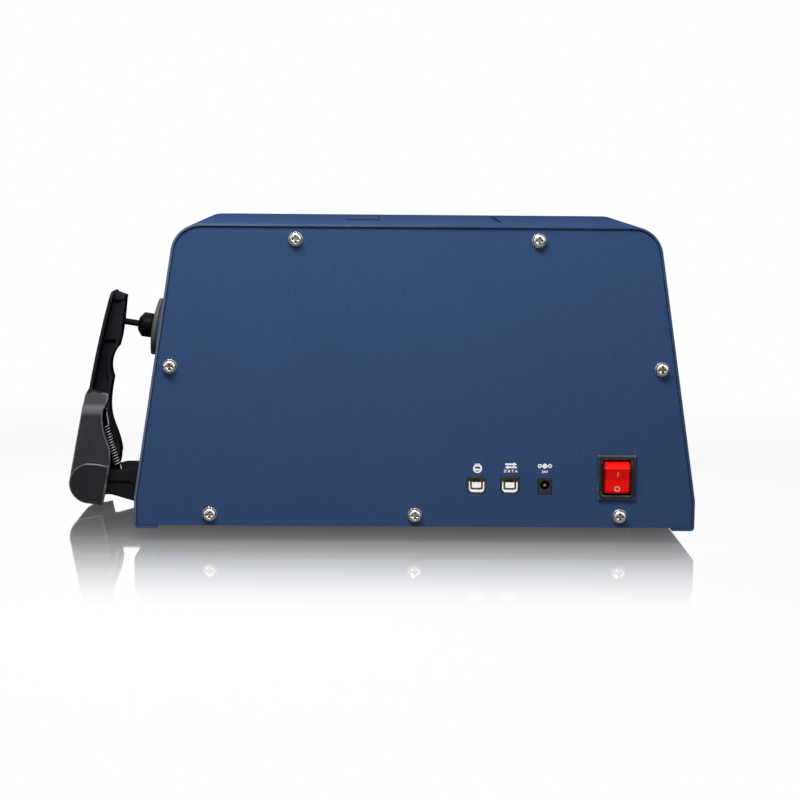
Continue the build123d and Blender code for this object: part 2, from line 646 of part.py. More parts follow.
def usb_socket_cores():
    """Insulators of the two sockets: a block that fills the shell's back, and the tongue."""
    cores = []
    back = PANEL_FACE + USB_DEPTH
    start = back - 4.0
    wide, high = USB_TONGUE
    for x in USB_X:
        core = prism_y(Pos(x, USB_Z) * usb_outline(-USB_SHELL - FIT), start, back)
        core += block(x - wide / 2, x + wide / 2, start - USB_TONGUE_LENGTH, start,
                      USB_Z - high / 2, USB_Z + high / 2)
        cores.append(core)
    return cores


def dc_jack_body():
    """Moulded power jack, standing on the board, with its bore."""
    sides = (JACK_X - JACK_WIDTH / 2, JACK_X + JACK_WIDTH / 2)
    body = block(*sides, PANEL_FACE, PANEL_FACE + JACK_DEPTH, BOARD_TOP, BOARD_TOP + JACK_HEIGHT)
    body -= pin_y(JACK_X, JACK_Z, PANEL_FACE, PANEL_FACE + JACK_BORE_DEPTH, JACK_BORE)
    return body - pin_y(JACK_X, JACK_Z, PANEL_FACE, PANEL_FACE + JACK_DEPTH - 1, JACK_PIN + FIT)


def dc_jack_pin():
    """Centre pin of the power jack."""
    pin = pin_y(JACK_X, JACK_Z, PANEL_FACE + 1, PANEL_FACE + JACK_DEPTH - 1, JACK_PIN)
    return chamfer(pin.edges().sort_by(Axis.Y)[0], 0.3)


def io_board():
    """Board that carries the sockets, just behind the rear panel."""
    width, depth = IO_BOARD
    x0 = (USB_X[0] + JACK_X) / 2 - width / 2
    y0 = PANEL_BACK + EASE
    return block(x0, x0 + width, y0, y0 + depth, BOARD_TOP - BOARD_THICKNESS, BOARD_TOP)


def standoffs(x0, x1, y0, y1, top):
    """Four standoffs inside a board's corners, from the deck to the board."""
    spots = [(x, y) for x in (x0 + BOARD_EDGE, x1 - BOARD_EDGE) for y in (y0 + BOARD_EDGE, y1 - BOARD_EDGE)]
    return [rod((x, y, DECK), (0, 0, 1), STANDOFF_RADIUS, top - DECK) for x, y in spots]


def io_board_standoffs():
    """Standoffs under the socket board."""
    width, depth = IO_BOARD
    x0 = (USB_X[0] + JACK_X) / 2 - width / 2
    y0 = PANEL_BACK + EASE
    return standoffs(x0, x0 + width, y0 + SHEET, y0 + depth, BOARD_TOP - BOARD_THICKNESS)


# ---------------------------------------------------------------- optics
def sphere_half(side):
    """One half of the integrating sphere: side -1 faces the sample port, +1 the chamber."""
    inner = SPHERE_RADIUS - SPHERE_WALL
    rim = SPHERE_RADIUS + SPHERE_FLANGE
    axis = (side, 0, 0)
    shell = Pos(SPHERE) * (Sphere(SPHERE_RADIUS) - Sphere(inner))
    shell &= rod(SPHERE, axis, rim, rim)
    shell += rod(SPHERE, axis, rim, FLANGE_THICKNESS) - rod(SPHERE, axis, inner + SPHERE_WALL / 2, FLANGE_THICKNESS)
    for y, z in bolt_spots():
        shell -= rod((SPHERE.X, y, z), axis, BOLT_RADIUS + FIT, FLANGE_THICKNESS)
    if side < 0:
        return shell - rod(SPHERE, OUTWARD, PORT_TUBE + FIT, rim)
    lamp = (sin(radians(LAMP_TILT)), 0, cos(radians(LAMP_TILT)))
    shell -= rod(SPHERE, INWARD, EXIT_TUBE[0] + FIT, rim)
    return shell - rod(SPHERE, lamp, LAMP_RADIUS / 2, rim)


def bolt_spots():
    """Y and Z of the bolts round the sphere's flange."""
    reach = SPHERE_RADIUS + SPHERE_FLANGE / 2
    turns = [(i + 0.5) * 2 * pi / FLANGE_BOLTS for i in range(FLANGE_BOLTS)]
    return [(SPHERE.Y + reach * cos(turn), SPHERE.Z + reach * sin(turn)) for turn in turns]


def sphere_bolts():
    """Socket-head bolts that hold the two halves together."""
    bolts = []
    head_radius, head_height = BOLT_HEAD
    for y, z in bolt_spots():
        start = SPHERE.X - FLANGE_THICKNESS
        bolt = rod((start, y, z), (1, 0, 0), BOLT_RADIUS, 2 * FLANGE_THICKNESS + 1)
        bolts.append(bolt + rod((start - head_height, y, z), (1, 0, 0), head_radius, head_height))
    return bolts


def sphere_cradle():
    """Saddle block that carries the sphere, slotted for its flange and bolts."""
    half_x, half_y = CRADLE_WIDTH / 2, CRADLE_LENGTH / 2
    top = SPHERE.Z - CRADLE_DROP
    block_ = block(SPHERE.X - half_x, SPHERE.X + half_x, SPHERE.Y - half_y, SPHERE.Y + half_y, DECK, top)
    block_ -= Pos(SPHERE) * Sphere(SPHERE_RADIUS + EASE)
    slot = FLANGE_THICKNESS + BOLT_HEAD[1] + 2 * EASE
    block_ -= rod(SPHERE - Vector(slot, 0, 0), (1, 0, 0), SPHERE_RADIUS + SPHERE_FLANGE + EASE, 2 * slot)
    return block_ - rod((SPHERE.X - half_x, SPHERE.Y, DECK), (1, 0, 0), CRADLE_ARCH, CRADLE_WIDTH)


def port_ring():
    """Turned ring of the sample port, from the sphere through the housing's side."""
    start = PORT + INWARD * (SPHERE_GAP + SHEET + SPHERE_WALL)
    length = SPHERE_GAP + SHEET + SPHERE_WALL
    recess = length + PORT_PROUD - MASK_THICKNESS - EASE
    shoulder = length + PORT_PROUD - PORT_COLLAR_LENGTH
    end = length + PORT_PROUD
    return turned([
        (PORT_RADIUS, 0), (PORT_TUBE, 0), (PORT_TUBE, shoulder), (PORT_COLLAR, shoulder),
        (PORT_COLLAR, end - 1), (PORT_COLLAR - 1, end), (MASK_RADIUS + FIT, end),
        (MASK_RADIUS + FIT, recess), (PORT_RADIUS, recess),
    ], start, OUTWARD)


def aperture_mask():
    """Exchangeable aperture in the mouth of the port ring."""
    start = PORT + OUTWARD * (PORT_PROUD - MASK_THICKNESS - EASE)
    return turned([
        (PORT_RADIUS, 0), (MASK_RADIUS, 0), (MASK_RADIUS, MASK_THICKNESS),
        (PORT_RADIUS + 1.5, MASK_THICKNESS), (PORT_RADIUS, MASK_THICKNESS - 1.5),
    ], start, OUTWARD)


def exit_tube():
    """Tube from the sphere to the chamber's left wall."""
    outer, inner = EXIT_TUBE
    start = SPHERE + INWARD * (SPHERE_RADIUS - SPHERE_WALL)
    wall = LID_LEFT + CHAMBER_INSET - LINER_WALL - EASE
    tube = rod(start, INWARD, outer, SPHERE_RADIUS) - rod(start, INWARD, inner, SPHERE_RADIUS)
    return tube & block(SPHERE.X, wall, -CASE_DEPTH, CASE_DEPTH, 0, COVER_TOP)


def lamp_housing():
    """Finned holder of the flash lamp, saddled on the sphere."""
    direction = Vector(sin(radians(LAMP_TILT)), 0, cos(radians(LAMP_TILT)))
    start = SPHERE + direction * (SPHERE_RADIUS - SPHERE_WALL)
    lamp = rod(start, direction, LAMP_RADIUS, LAMP_LENGTH)
    lamp -= Pos(SPHERE) * Sphere(SPHERE_RADIUS + EASE)
    fins = 3
    pitch = LAMP_LENGTH / 6
    for i in range(fins):
        groove = start + direction * (LAMP_LENGTH - (i + 1) * pitch)
        lamp -= rod(groove, direction, LAMP_RADIUS, pitch / 2) - rod(groove, direction, LAMP_RADIUS - 3, pitch / 2)
    return lamp


# ---------------------------------------------------------------- chamber and lid
def chamber_walls():
    """X and Y limits of the inside of the transmission chamber."""
    left = LID_LEFT + CHAMBER_INSET
    right = HINGE_X - HINGE_RADIUS - 2 * EASE - LINER_WALL
    return left, right, LID_REAR + CHAMBER_INSET, LID_FRONT - CHAMBER_INSET


def chamber_liner():
    """Moulded tub under the lid, with a flange, an upstand and the hinge's bearings."""
    left, right, rear, front = chamber_walls()
    middle = ((left + right) / 2, (rear + front) / 2)
    wide, long = right - left, front - rear
    floor = LINER_FLANGE_TOP - CHAMBER_DEPTH
    wall = LINER_WALL
    tub = extrude(Pos(*middle, floor - wall) * RectangleRounded(
        wide + 2 * wall, long + 2 * wall, CHAMBER_CORNER + wall), CHAMBER_DEPTH + wall)
    out = LID_SEAM + LINER_MARGIN
    flange = (LID_LEFT - out, LID_RIGHT + out, LID_REAR - out, LID_FRONT + out)
    tub += block(*flange, LINER_FLANGE_TOP - wall, UNDER_TOP)
    tub -= block(flange[0] + wall, flange[1] - wall, flange[2] + wall, flange[3] - wall,
                 LINER_FLANGE_TOP, UNDER_TOP)
    tub -= extrude(Pos(*middle, floor) * RectangleRounded(wide, long, CHAMBER_CORNER), 2 * CHAMBER_DEPTH)
    tub -= pin_y(HINGE_X, HINGE_Z, flange[2] - 1, flange[3] + 1, HINGE_PIN + FIT)
    half = CUP_WIDTH / 2 + CUP_WALL + EASE
    tub -= block(flange[0] - 1, flange[0] + wall, CUP_Y - half, CUP_Y + half, LINER_FLANGE_TOP, UNDER_TOP)
    return tub - rod(SPHERE, INWARD, EXIT_TUBE[1], 4 * SPHERE_RADIUS)


def finger_cup():
    """Shallow moulded cup beside the lid, open toward the lid's edge."""
    edge = LID_LEFT - LID_SEAM - LINER_MARGIN
    floor = LINER_FLANGE_TOP
    outer = extrude(Pos(0, 0, floor) * finger_notch(CUP_WALL), UNDER_TOP - floor)
    inner = extrude(Pos(0, 0, floor + CUP_WALL) * finger_notch(0), UNDER_TOP - floor)
    cup = (outer - inner) & block(CUP_LEFT - CUP_WALL, edge + LINER_WALL, -CASE_DEPTH, CASE_DEPTH, 0, COVER_TOP)
    return cup


def chamber_lid():
    """Flush lid with a skirt, a rounded hinge edge and bores for its two pins."""
    top = COVER_TOP
    plate = block(LID_LEFT, HINGE_X, LID_REAR, LID_FRONT, top - LID_THICKNESS, top)
    plate += pin_y(HINGE_X, HINGE_Z, LID_REAR, LID_FRONT, HINGE_RADIUS)
    inner_right = HINGE_X - HINGE_RADIUS
    low = LINER_FLANGE_TOP + EASE
    skirt = (LID_LEFT + LID_GRIP, inner_right, LID_REAR, LID_FRONT)
    plate += block(*skirt, low, top - LID_THICKNESS)
    plate -= block(skirt[0] + LID_SKIRT, skirt[1] - LID_SKIRT, skirt[2] + LID_SKIRT, skirt[3] - LID_SKIRT,
                   low, top - LID_THICKNESS)
    plate += block(inner_right - LID_SKIRT, HINGE_X, LID_REAR, LID_FRONT, HINGE_Z, top - LID_THICKNESS)
    for y in (LID_REAR, LID_FRONT - HINGE_PIN_LENGTH):
        plate -= pin_y(HINGE_X, HINGE_Z, y, y + HINGE_PIN_LENGTH, HINGE_PIN + FIT)
    return plate


def lid_hinge_pins():
    """Two short pins between the lid's ends and the liner's bearings."""
    length = HINGE_PIN_LENGTH
    return [pin_y(HINGE_X, HINGE_Z, y - length, y + length, HINGE_PIN) for y in (LID_REAR, LID_FRONT)]


# ---------------------------------------------------------------- spectrometer and boards
def spectrometer_frame():
    """Limits of the spectrometer's housing, centred on the light path."""
    width, length, height = BOX_SIZE
    return BOX_LEFT, BOX_LEFT + width, CLAMP_Y - length / 2, CLAMP_Y + length / 2, BOX_FLOOR_Z, BOX_FLOOR_Z + height


def spectrometer_box():
    """Cast housing of the spectrometer, open at the top, with the entrance for the barrel."""
    x0, x1, y0, y1, z0, z1 = spectrometer_frame()
    wall = BOX_WALL
    box = block(x0, x1, y0, y1, z0, z1)
    box -= block(x0 + wall, x1 - wall, y0 + wall, y1 - wall, z0 + wall, z1)
    return box - rod(SPHERE, INWARD, BARREL[1], 2 * CASE_WIDTH) & block(x0, x1, y0, y1, z0, z1)


def spectrometer_cover():
    """Flat cover of the spectrometer."""
    x0, x1, y0, y1, _, z1 = spectrometer_frame()
    return block(x0, x1, y0, y1, z1, z1 + BOX_WALL)


def spectrometer_pillars():
    """Four pillars under the spectrometer."""
    x0, x1, y0, y1, z0, _ = spectrometer_frame()
    inset = PILLAR_INSET
    spots = [(x, y) for x in (x0 + inset, x1 - inset) for y in (y0 + inset, y1 - inset)]
    return [rod((x, y, DECK), (0, 0, 1), PILLAR_RADIUS, z0 - DECK) for x, y in spots]


def barrel_limits():
    """X from the chamber's right wall to the spectrometer."""
    return chamber_walls()[1] + LINER_WALL + EASE, BOX_LEFT - EASE


def lens_barrel():
    """Barrel from the chamber to the spectrometer, with a seat for the lens."""
    outer, inner = BARREL
    tube = rod(SPHERE, INWARD, outer, 2 * CASE_WIDTH) - rod(SPHERE, INWARD, inner, 2 * CASE_WIDTH)
    x0, x1 = barrel_limits()
    return tube & block(x0, x1, -CASE_DEPTH, CASE_DEPTH, 0, COVER_TOP)


def collimating_lens():
    """Biconvex lens at the middle of the barrel."""
    x0, x1 = barrel_limits()
    distance = ((x0 + x1) / 2 - SPHERE.X) / cos(SLOPE)
    radius = BARREL[1] - FIT
    edge = LENS_THICKNESS / 2
    rim = LENS_THICKNESS / 6
    bow = (radius ** 2 + (edge - rim) ** 2) / (2 * (edge - rim))
    lens = Cylinder(radius, 2 * edge)
    for side in (-1, 1):
        lens &= Pos(0, 0, side * (edge - bow)) * Sphere(bow)
    return Plane(origin=SPHERE + INWARD * distance, z_dir=INWARD) * lens


def board(limits):
    """A circuit board from its limits in plan and the height of its underside."""
    x0, x1, y0, y1, z = limits
    return block(x0, x1, y0, y1, z, z + BOARD_THICKNESS)


def flash_capacitors():
    """Two capacitors standing on the lamp's driver board."""
    x0, x1, y0, y1, z = DRIVER_BOARD
    radius, height = CAPACITOR
    spots = [(x0 + x1) / 2 + i * CAPACITOR_SPACING / 2 for i in (-1, 1)]
    return [rod((x, (y0 + y1) / 2, z + BOARD_THICKNESS), (0, 0, 1), radius, height) for x in spots]


# ---------------------------------------------------------------- clamp
def clamp_y(half):
    """Limits across the clamp for a piece of this half width."""
    return CLAMP_Y - half, CLAMP_Y + half


def from_pivot(points):
    """Side-view points of the clamp, measured from the pivot, as X and Z."""
    return [(PIVOT_X + x, PIVOT_Z + z) for x, z in points]


def clamp_bracket():
    """Moulded bracket: a foot screwed under the housing, a tongue, and the hub for the pivot."""
    skirt = -HALF_WIDTH
    top = PIVOT_Z + BRACKET_TOP
    waist = PIVOT_Z + BRACKET_WAIST
    hub_low = PIVOT_Z - HUB_RADIUS
    pad = skirt + RETURN_FLANGE + EASE
    inner = skirt + BRACKET_REACH
    narrow = PIVOT_OUT * 0.3
    side = outline([
        (PIVOT_X, waist), (PIVOT_X + narrow, waist), (skirt - narrow * 1.75, top), (skirt, top),
        (skirt, COVER_BASE), (pad, COVER_BASE), (pad, FLOOR), (inner, FLOOR), (inner, BRACKET_FOOT),
        (skirt - narrow, BRACKET_FOOT), (PIVOT_X + narrow * 1.1, hub_low - 0.5), (PIVOT_X, hub_low),
    ], [0, 6, 6, 0, 0, 0, 0, 0, 1.5, 5, 5, 0])
    side += Pos(PIVOT_X, PIVOT_Z) * Circle(HUB_RADIUS)
    body = prism_y(side, *clamp_y(BRACKET_WIDTH / 2))
    body -= pin_y(PIVOT_X, PIVOT_Z, *clamp_y(BRACKET_WIDTH), PIVOT_PIN + FIT)
    step = from_pivot([(HUB_RADIUS + 2, 0.9), (narrow * 2.1, 0.9), (narrow * 2.35, -3.6),
                       (narrow * 2.35, -PIVOT_OUT), (HUB_RADIUS + 2, -PIVOT_OUT)])
    half = BRACKET_WIDTH / 2
    for side_way in (-1, 1):
        faces = (CLAMP_Y + side_way * (half - BRACKET_STEP), CLAMP_Y + side_way * (half + 1))
        body -= prism_y(outline(step), *sorted(faces))
    slot_y = (SPRING_Y - SPRING_SLOT / 2, SPRING_Y + SPRING_SLOT / 2)
    body -= prism_y(outline(from_pivot(SPRING_TROUGH)), *slot_y)
    x, z = from_pivot([SPRING_ANCHOR])[0]
    reach = ANCHOR_PIN + 2 * SPRING_WIRE + 1.2
    body -= prism_y(Pos(x, z) * Circle(reach), *slot_y)
    body -= pin_y(x, z, SPRING_Y - SPRING_SLOT, SPRING_Y + SPRING_SLOT, ANCHOR_PIN + FIT)
    for sx, sy in bracket_spots():
        body -= rod((sx, sy, 0), (0, 0, 1), M4_HOLE, DECK)
        body -= rod((sx, sy, 0), (0, 0, 1), M4_HEAD_RADIUS + EASE, FLOOR - 2.5)
    return body


def bracket_screws():
    """Two screws that hold the bracket up against the base plate."""
    seat = FLOOR - 2.5
    return [pan_screw((x, y, seat), (0, 0, 1), DECK + 3 - seat) for x, y in bracket_spots()]


def arm_back(offset):
    """The curve of the arm's back, from its shoulder to its top, set in by offset."""
    points = from_pivot([ARM_SHOULDER, ARM_MIDDLE, ARM_TOP])
    return ThreePointArc(*[(x + offset, z) for x, z in points])


def arm_round(offset):
    """Where the arm's straight lower back meets its round end, set in by offset."""
    lean = atan2(ARM_SHOULDER[0] - 1.5 + END_RADIUS, ARM_SHOULDER[1])
    radius = END_RADIUS - offset
    return PIVOT_X - radius * cos(lean), PIVOT_Z + radius * sin(lean), lean


def lower_back(offset, end_angle):
    """The lower back as curve points: shoulder, tangent point, and the round end's two points."""
    x, z, lean = arm_round(offset)
    radius = END_RADIUS - offset
    start = radians(180) - lean
    middle = (start + end_angle) / 2
    spots = [(PIVOT_X + radius * cos(a), PIVOT_Z + radius * sin(a)) for a in (start, middle, end_angle)]
    length = (PIVOT_Z + ARM_SHOULDER[1] - 4 - z) / cos(lean)
    top = (x + length * sin(lean), z + length * cos(lean))
    return top, spots


def arm_front(inset):
    """The arm's outline seen along X: cheeks, flare under the shoulder and tapered upper part."""
    cheek = CHEEK_WIDTH / 2 - inset
    shoulder = SHOULDER_WIDTH / 2 - inset
    crown = ARM_TOP_WIDTH / 2 - inset
    shoulder_z = PIVOT_Z + ARM_SHOULDER[1] - inset / 2
    low = PIVOT_Z - 2 * END_RADIUS
    high = PIVOT_Z + ARM_TOP[1] + 0.4
    right = [(cheek, low), (cheek, shoulder_z - FLARE), (shoulder, shoulder_z), (crown, high)]
    left = [(-y, z) for y, z in reversed(right)]
    points = [(CLAMP_Y + y, z) for y, z in right + left]
    bend, corner = FLARE * 0.6, ARM_TOP_CORNER - inset
    return outline(points, [0, bend, bend / 3, corner, corner, bend / 3, bend, 0])


def cheek_face(points):
    """Side view of one cheek: straight back, round end, and the hollowed inner edge through the points."""
    top, (tangent, left, bottom) = lower_back(0, radians(270))
    edge = from_pivot(points)
    back = Polyline(top, tangent) + ThreePointArc(tangent, left, bottom) + Polyline(bottom, edge[0])
    x, z = from_pivot([ARM_SHOULDER])[0]
    return make_face(back + Spline(*edge) + Polyline(edge[-1], (x + 1.2, z - 0.5), top))


def web_face():
    """Side view of the arm's web, from the crown down to the hub, with the finger hollow."""
    edge = from_pivot(FINGER_EDGE)
    palm = from_pivot(PALM_EDGE)
    hollow = Polyline(*edge) + Spline(*from_pivot(FINGER_HOLLOW)) + Spline(*palm)
    low = (PIVOT_X, palm[-1][1])
    root = lower_back(1, radians(225))[1][0]
    top, shoulder = from_pivot([ARM_TOP, ARM_SHOULDER])
    face = make_face(
        arm_back(1) + Polyline((top[0] + 1, top[1]), edge[0]) + hollow
        + Polyline(palm[-1], low, root, (shoulder[0] + 1, shoulder[1])))
    return face - Pos(PIVOT_X, PIVOT_Z) * Circle(HUB_RADIUS + 1)


def arm_skin():
    """Side view of the arm's back: the lower skin round the end, and the curved upper skin."""
    top, (tangent, left, end) = lower_back(0, radians(225))
    inner_top, (inner_tangent, inner_left, inner_end) = lower_back(ARM_SKIN, radians(225))
    shoulder, crest = from_pivot([ARM_SHOULDER, ARM_TOP])
    inside = (shoulder[0] + ARM_SKIN, shoulder[1])
    lower = make_face(
        Polyline(shoulder, top, tangent) + ThreePointArc(tangent, left, end) + Polyline(end, inner_end)
        + ThreePointArc(inner_end, inner_left, inner_tangent)
        + Polyline(inner_tangent, inner_top, inside, shoulder))
    upper = make_face(
        arm_back(0) + Polyline(crest, (crest[0] + ARM_SKIN, crest[1])) + arm_back(ARM_SKIN)
        + Polyline(inside, shoulder))
    return lower, upper


def clamp_arm():
    """Moulded arm: a curved back, a web with a rim and a finger hollow, and cheeks round the pivot."""
    half = CHEEK_WIDTH / 2
    lower, upper = arm_skin()
    crest = from_pivot([ARM_TOP])[0]
    crown = [(crest[0] + x, crest[1] + z) for x, z in CROWN]
    arm = prism_y(lower, *clamp_y(half)) + prism_y(upper, *clamp_y(half))
    arm += prism_y(outline(crown, [0.4, 0.5, 0.5, 0.5, 0.8, 0, 0]), *clamp_y(CROWN_WIDTH / 2))
    arm &= prism_x(arm_front(0), PIVOT_X - PIVOT_OUT, PIVOT_X + PIVOT_OUT)

    web = web_face()
    arm += prism_y(web, *clamp_y(WEB_THICKNESS / 2))
    pad = prism_y(web, *clamp_y(PAD_THICKNESS / 2))
    arm += pad & block(PIVOT_X, -HALF_WIDTH, *clamp_y(half), PIVOT_Z + PAD_HEIGHT, PIVOT_Z + ARM_TOP[1])
    rim = prism_y(web - Pos(-RIM_DEPTH, 0) * web, *clamp_y(RIM_THICKNESS / 2))
    arm += rim & block(PIVOT_X, -HALF_WIDTH, *clamp_y(half), PIVOT_Z + 2 * HUB_RADIUS, PIVOT_Z + ARM_TOP[1])

    cheeks = prism_y(cheek_face(CHEEK_EDGE), CLAMP_Y - half, CLAMP_Y)
    cheeks += prism_y(cheek_face(FRONT_CHEEK_EDGE), CLAMP_Y, CLAMP_Y + half)
    wall = arm_front(0) - arm_front(CHEEK_THICKNESS)
    arm += cheeks & prism_x(wall, PIVOT_X - PIVOT_OUT, PIVOT_X + PIVOT_OUT)
    x, z = PIVOT_X, PIVOT_Z
    for side in (-1, 1):
        outer = CLAMP_Y + side * half
        boss = CLAMP_Y + side * (BRACKET_WIDTH / 2 + EASE)
        arm += pin_y(x, z, *sorted((outer, boss)), PIVOT_PIN + 3)
    arm -= pin_y(x, z, *clamp_y(half), PIVOT_PIN + FIT)
    px, pz = from_pivot([SPRING_PEG])[0]
    arm -= pin_y(px, pz, SPRING_Y, CLAMP_Y, PEG_RADIUS + FIT)
    socket = rod_root()
    arm += rod(socket, OUTWARD, ROD_RADIUS + 3, ROD_SOCKET + 1) & prism_y(web, *clamp_y(half))
    return arm - rod(socket - OUTWARD * 5, OUTWARD, ROD_RADIUS + FIT, ROD_SOCKET + 5)


def rod_root():
    """Point on the port's axis where the rod enters the arm."""
    return PORT + OUTWARD * (COLLAR_END + ROD_REACH)


def pivot_caps():
    """Two D-shaped caps on the cheeks that cover the ends of the pivot pin."""
    x, z = PIVOT_X, PIVOT_Z
    reach = END_RADIUS - 0.2
    face = make_face(
        Polyline((x, z - reach), *from_pivot(CAP_EDGE), (x, z + reach))
        + ThreePointArc((x, z + reach), (x - reach, z), (x, z - reach)))
    caps = []
    for side in (-1, 1):
        outer = CLAMP_Y + side * (CHEEK_FACE + CAP_THICKNESS)
        caps.append(prism_y(face, *sorted((outer, CLAMP_Y + side * CHEEK_FACE))))
    return caps


def pivot_pin():
    """Pin through the cheeks and the bracket's hub."""
    return pin_y(PIVOT_X, PIVOT_Z, *clamp_y(CHEEK_FACE - EASE), PIVOT_PIN)


def press_rod():
    """Rod on the port's axis, from its socket in the arm into the collar."""
    start = PORT + OUTWARD * (COLLAR_END - COLLAR_BORE + 0.5)
    length = ROD_REACH + COLLAR_BORE - 0.5 + ROD_SOCKET - EASE
    return rod(start, OUTWARD, ROD_RADIUS, length)


def press_collar():
    """Turned collar that swivels on the rod and carries the disc."""
    end = COLLAR_LENGTH
    bore = end - COLLAR_BORE
    return turned([
        (0, 0), (COLLAR_RADIUS, 0), (COLLAR_RADIUS, end - COLLAR_CHAMFER), (COLLAR_FACE, end),
        (ROD_RADIUS + FIT, end), (ROD_RADIUS + FIT, bore), (0, bore),
    ], PORT + OUTWARD * COLLAR_START, OUTWARD)


def press_disc():
    """Disc that presses the sample on the port, domed toward the collar."""
    dome = DISC_THICKNESS - DISC_RIM
    ball = (DISC_RADIUS ** 2 + dome ** 2) / (2 * dome)
    disc = Cylinder(DISC_RADIUS, DISC_THICKNESS, align=(Align.CENTER, Align.CENTER, Align.MIN))
    disc &= Pos(0, 0, DISC_THICKNESS - ball) * Sphere(ball)
    disc = chamfer(disc.edges().sort_by(Axis.Z)[0], 0.4)
    return Plane(origin=PORT + OUTWARD * DISC_START, z_dir=OUTWARD) * disc


def spring_line():
    """Start point, direction and length from the anchor pin to the peg."""
    anchor, peg = from_pivot([SPRING_ANCHOR, SPRING_PEG])
    start = Vector(anchor[0], SPRING_Y, anchor[1])
    end = Vector(peg[0], SPRING_Y, peg[1])
    return start, (end - start).normalized(), (end - start).length


def spring_loop(centre, pin_radius):
    """Closed eye of the spring round a pin that runs along Y."""
    reach = pin_radius + SPRING_WIRE + FIT
    return Plane(origin=centre, z_dir=(0, 1, 0)) * Torus(reach, SPRING_WIRE)


def clamp_spring():
    """Extension spring between bracket and arm: coil, two legs and two eyes."""
    start, along, length = spring_line()
    coil_start = start + along * SPRING_COIL_START
    pitch = SPRING_COIL_LENGTH / SPRING_TURNS
    frame = Plane(origin=coil_start, x_dir=(0, 1, 0), z_dir=along)
    path = Helix(pitch, SPRING_COIL_LENGTH, SPRING_COIL)
    wire = sweep(Plane(origin=path @ 0, z_dir=path % 0) * Circle(SPRING_WIRE), path)
    spring = frame * wire
    coil_end = coil_start + along * SPRING_COIL_LENGTH
    side = Vector(0, SPRING_COIL, 0)
    ends = ((start, coil_start, ANCHOR_PIN, 1), (start + along * length, coil_end, PEG_RADIUS, -1))
    for pin, coil, radius, way in ends:
        eye = pin + along * way * (radius + SPRING_WIRE + FIT)
        leg = coil + side - eye
        spring += rod(eye, leg.normalized(), SPRING_WIRE, leg.length)
        spring += spring_loop(pin, radius)
    return spring


def spring_anchor_pin():
    """Cross pin in the bracket that the spring's lower eye hooks on."""
    x, z = from_pivot([SPRING_ANCHOR])[0]
    return pin_y(x, z, SPRING_Y - SPRING_SLOT + EASE, SPRING_Y + SPRING_SLOT - EASE, ANCHOR_PIN)


def spring_peg():
    """Headed peg in the arm's web that carries the spring's upper eye."""
    x, z = from_pivot([SPRING_PEG])[0]
    web = CLAMP_Y - WEB_THICKNESS / 2
    peg = pin_y(x, z, SPRING_Y - 1.5, web + 5, PEG_RADIUS)
    return peg + pin_y(x, z, SPRING_Y - 2.5, SPRING_Y - 1.5, PEG_RADIUS + 1)


# ---------------------------------------------------------------- the instrument
def build():
    """Write every node."""
    os.makedirs("parts", exist_ok=True)
    save("wrap_cover", wrap_cover())
    save("base_plate", base_plate())
    save("rear_panel", rear_panel())
    save("rear_panel_screws", *rear_panel_screws())
    save("rear_panel_washers", *rear_panel_washers())
    save("front_panel", front_panel())
    save("display_bezel", display_bezel())
    save("display_module", display_module())
    save("touch_glass", touch_glass())
    save("rubber_feet", *rubber_feet())
    save("foot_screws", *foot_screws())
    save("power_switch_housing", power_switch_housing())
    save("power_switch_rocker", power_switch_rocker())
    save("power_switch_terminals", *power_switch_terminals())
    save("usb_socket_shells", *usb_socket_shells())
    save("usb_socket_cores", *usb_socket_cores())
    save("dc_jack_body", dc_jack_body())
    save("dc_jack_pin", dc_jack_pin())
    save("io_board", io_board())
    save("io_board_standoffs", *io_board_standoffs())
    save("sphere_sample_half", sphere_half(-1))
    save("sphere_exit_half", sphere_half(1))
    save("sphere_bolts", *sphere_bolts())
    save("sphere_cradle", sphere_cradle())
    save("port_ring", port_ring())
    save("aperture_mask", aperture_mask())
    save("exit_tube", exit_tube())
    save("lamp_housing", lamp_housing())
    save("chamber_liner", chamber_liner())
    save("finger_cup", finger_cup())
    save("chamber_lid", chamber_lid())
    save("lid_hinge_pins", *lid_hinge_pins())
    save("spectrometer_box", spectrometer_box())
    save("spectrometer_cover", spectrometer_cover())
    save("spectrometer_pillars", *spectrometer_pillars())
    save("lens_barrel", lens_barrel())
    save("collimating_lens", collimating_lens())
    save("main_board", board(MAIN_BOARD))
    save("main_board_standoffs", *standoffs(*MAIN_BOARD))
    save("lamp_driver_board", board(DRIVER_BOARD))
    save("driver_board_standoffs", *standoffs(*DRIVER_BOARD))
    save("flash_capacitors", *flash_capacitors())
    save("clamp_bracket", clamp_bracket())
    save("bracket_screws", *bracket_screws())
    save("pivot_pin", pivot_pin())
    save("clamp_arm", clamp_arm())
    save("pivot_caps", *pivot_caps())
    save("press_rod", press_rod())
    save("press_collar", press_collar())
    save("press_disc", press_disc())
    save("clamp_spring", clamp_spring())
    save("spring_anchor_pin", spring_anchor_pin())
    save("spring_peg", spring_peg())


build()
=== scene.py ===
"""Looks of a benchtop colorimeter: a blue powder-coated housing with a sprung sample clamp on its side."""

import json
import math

import bmesh
import bpy
import numpy as np
from mathutils import Matrix, Vector
from mathutils.bvhtree import BVHTree


